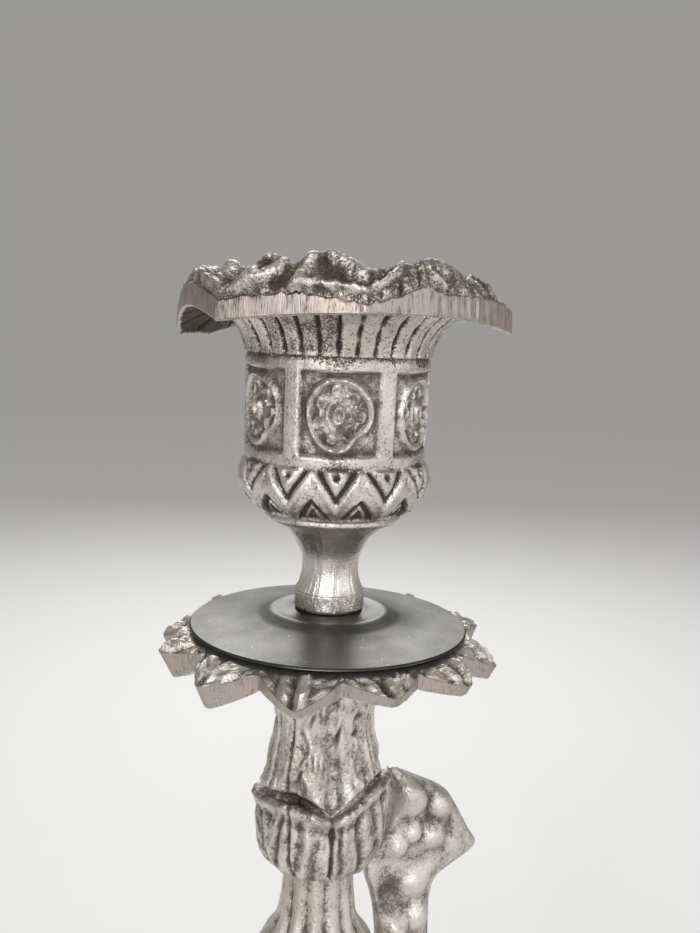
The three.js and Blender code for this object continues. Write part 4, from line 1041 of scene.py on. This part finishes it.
    above = height - top
    slope = np.zeros(radius.shape)
    for points, half_wide, rise in STROKES:
        for about in (0, 180):
            at = away_from(alpha, about + points[0][0]) * np.radians(1) * 24.6
            line = [((a - points[0][0]) * np.radians(1) * 24.6, up) for a, up in points]
            slope += rise * bump_at(distance_to(at, above, line), half_wide)
    dentil = np.zeros(radius.shape)
    for about in (0, 180):
        at = away_from(alpha, about)
        under = np.interp(at, [0, 8, 14, 20, 26], [1.4, 1.2, 1.6, 2.4, 3.3])
        here = plateau(np.abs(at - 15) - 13, 1.5)
        notches = np.abs(np.sin(np.radians(at) * 50)) ** 0.5 - 0.5
        dentil += here * bump_at(above - 0.55 * under, 0.45 * under) * notches
    pitted = blurred(chance.standard_normal(radius.shape), 2, 2) * 0.3
    pitted = pitted + 0.3 * blurred(chance.standard_normal(radius.shape), 1, 1)
    rocaille = rows("crest") * (slope + 0.9 * dentil + pitted) + rows("inner slope") * pitted * 0.8
    files = chance.standard_normal(len(alpha)) * (0.03 + 0.04 * (np.abs(away_from(alpha, 45, 180)) < 42))
    face = rows("rim face") * files

    skin = rows("ferrule", "rim underside") * sand(radius.shape, 62, 0.022)
    relief = panels + bowl + stave + shelf + rocaille + face + skin
    patch = rows("bowl", "body") * 0.45 * bump_at(away_from(alpha, 2, 60), 11)
    patch = patch * (bump_at(height - 52.2, 0.8) + bump_at(height - 35.4, 1.8))
    # Darkening added to the hollows: tarnish, and painted shade where marked below.
    tarnish_and_shade = (patch
               + rows("body") * 0.05 * sunk * (1 - 0.9 * plateau(np.abs(bent - 5.35) - 0.35, 0.3))
               + rows("bowl") * (0.26 * low_tooth + 0.1 * within - 0.1)
               + rows("crest", "inner slope") * 0.12
               # painted shade on the lower part of the rim's face near its left lobe, where it rolls under
               + rows("rim face") * 0.4 * bump_at(away_from(alpha, -112), 18) * plateau(height - low - 2.2, 1)
               # painted shade on the flare and the rim's underside, with a random tone for each stave
               + rows("flare", "rim underside") * (0.08 + stave_tone)
               # darker inside the bore and the rod hole
               + rows("bore", "rod hole") * 0.3
               - rows("ferrule", "bowl foot") * 0.1
               # painted shade under the rim, darkest under its left lobe
               + rows("rim underside") * (0.15 + 0.5 * bump_at(away_from(alpha, -100), 30)))
    grid, hollow = raised(spun(profile, alpha + math.radians(CUP_TURN)), relief, tarnish_and_shade)
    ground = rows("body") * sunk > 0.5
    curls = rows("crest", "inner slope") > 0
    hollow = np.where(curls, 0.47 + 0.45 * (hollow - 0.4), np.maximum(hollow, 0.17))
    hollow = np.where(ground, 0.33 + 0.5 * (hollow - 0.3), hollow)
    on_each_light("candle_cup_casting", [(grid, hollow, True)], sand_cast_silver, "cup",
                  finishes=[(filed_silver, rows("rim lower corner", "rim upper corner") > 0),
                            (coarse_silver, curls), (burnished_silver, rows("ferrule", "neck") > 0),
                            (sunk_silver, ground)])


make_cups()

# Beside each outer light stands a cast leaf with a lobed, flame-like head and beads along it. A screw holds it
# to the arm.
LEAF_THICK = 6.8
# From its foot up: height, and how far its inner and its outer edge stand from the light's axis, towards the
# column
LEAF_EDGES = [(121.5, 7, 11), (124, 4.6, 14.5), (128, 3.4, 17), (134, 5, 18.5), (142, 12.2, 19.8),
              (151, 15.2, 21.6), (162, 16.4, 23.9), (175, 15.6, 25.0), (188, 13.8, 25.1), (195, 13.5, 24.9),
              (200.5, 12.6, 24.8), (204.2, 11.6, 25.6), (206.4, 10.8, 28.4), (207.4, 10.2, 33.2),
              (208.8, 10.0, 36.6), (210.6, 10.4, 35.4), (213.4, 12.4, 33.4), (217.2, 14.6, 31.2),
              (220.4, 15.2, 29.2), (223, 15.3, 27.4), (224.7, 15.3, 23.8), (225.9, 15.2, 21.6),
              (227.4, 14.9, 18.8), (228.6, 14.2, 16.6), (229.3, 14.2, 15.2)]
# Round lumps on its faces: distance from the light's axis, height, radius, and how far each stands out
LEAF_LUMPS = [(18.3, 222.9, 3.4, 2.1), (25.6, 220.9, 2.8, 1.9), (30.0, 217.2, 2.0, 0.8),
              (15.9, 213.2, 2.1, 2.0), (19.2, 216.0, 1.8, 1.6), (24.2, 214.0, 2.5, 1.9),
              (29.4, 210.6, 2.9, 0.8), (20.4, 205.4, 2.7, 1.7), (24.0, 208.4, 1.7, 0.9),
              (21.6, 197.8, 2.7, 1.7), (16.4, 195.8, 2.1, 1.7), (22.0, 191.4, 2.3, 1.4),
              (17.4, 189.2, 2.2, 1.4), (22.0, 184.2, 2.3, 1.4), (17.6, 180.4, 2.1, 1.2),
              (21.8, 176.0, 2.2, 1.2), (18.4, 170.4, 2.1, 1.2), (21.0, 164.6, 1.9, 1.1),
              (18.6, 158.4, 1.8, 1.0), (18.6, 151.6, 1.7, 0.9), (16.6, 144.6, 1.6, 0.9),
              (11.0, 134.0, 2.2, 0.9)]
LEAF_HOLLOWS = [(14.4, 203.6, 2.8, 2.2), (22.2, 218.2, 1.3, 0.7), (18.4, 201.0, 1.6, 0.7),
                (27.4, 215.0, 1.2, 0.5)]


def make_arm_leaf(side, move=None):
    around = turn_angles(72)
    heights, inner, outer = (np.array(column) for column in zip(*LEAF_EDGES))
    up = np.linspace(heights[0], heights[-1], 190)
    near, far = np.interp(up, heights, inner), np.interp(up, heights, outer)
    smooth = lambda v: np.convolve(np.pad(v, 2, mode="edge"), np.ones(5) / 5, "valid")
    near, far = smooth(near), smooth(far)
    thick = LEAF_THICK / 2 * np.clip(np.minimum((up - heights[0]) / 4, (heights[-1] - up) / 5) + 0.3, 0, 1)
    thick = thick * (1 - 0.25 * bump_at(up - 210.5, 3))
    squared = lambda v: np.sign(v) * np.abs(v) ** 0.72
    away = (near + far)[:, None] / 2 + (far - near)[:, None] / 2 * squared(np.cos(around))
    out = thick[:, None] * squared(np.sin(around)) * 0.86
    face = np.abs(np.sin(around)) ** 0.8
    relief = 0.25 * np.sin(away * 0.9 + 1) * np.sin(up[:, None] * 0.55)
    for at, high, wide, rise in LEAF_LUMPS:
        off = np.hypot(away - at, up[:, None] - high) / wide
        relief = np.maximum(relief, rise * np.sqrt(np.clip(1 - off**2, 0, 1)))
    for at, high, wide, deep in LEAF_HOLLOWS:
        relief = relief - deep * bump_at(np.hypot(away - at, 0.6 * (up[:, None] - high)), wide)
    relief = blurred(relief, 1, 0) + sand(away.shape, 71, 0.02)
    out = out + np.sign(np.sin(around)) * relief * face**1.5
    hollow = np.clip(0.36 + 0.3 * (blurred(relief, 4, 4) - relief) - 0.05 * np.minimum(relief, 0), 0, 1)
    grid = np.stack([away - ARM_REACH, out, up[:, None] + 0 * out], -1)
    solid(side + "_arm_leaf_casting", [(grid, hollow, False)], worn_silver, side + "_branch",
          [side + "_arm_leaf"], move=move)


make_arm_leaf("left")
make_arm_leaf("right", half_turn)
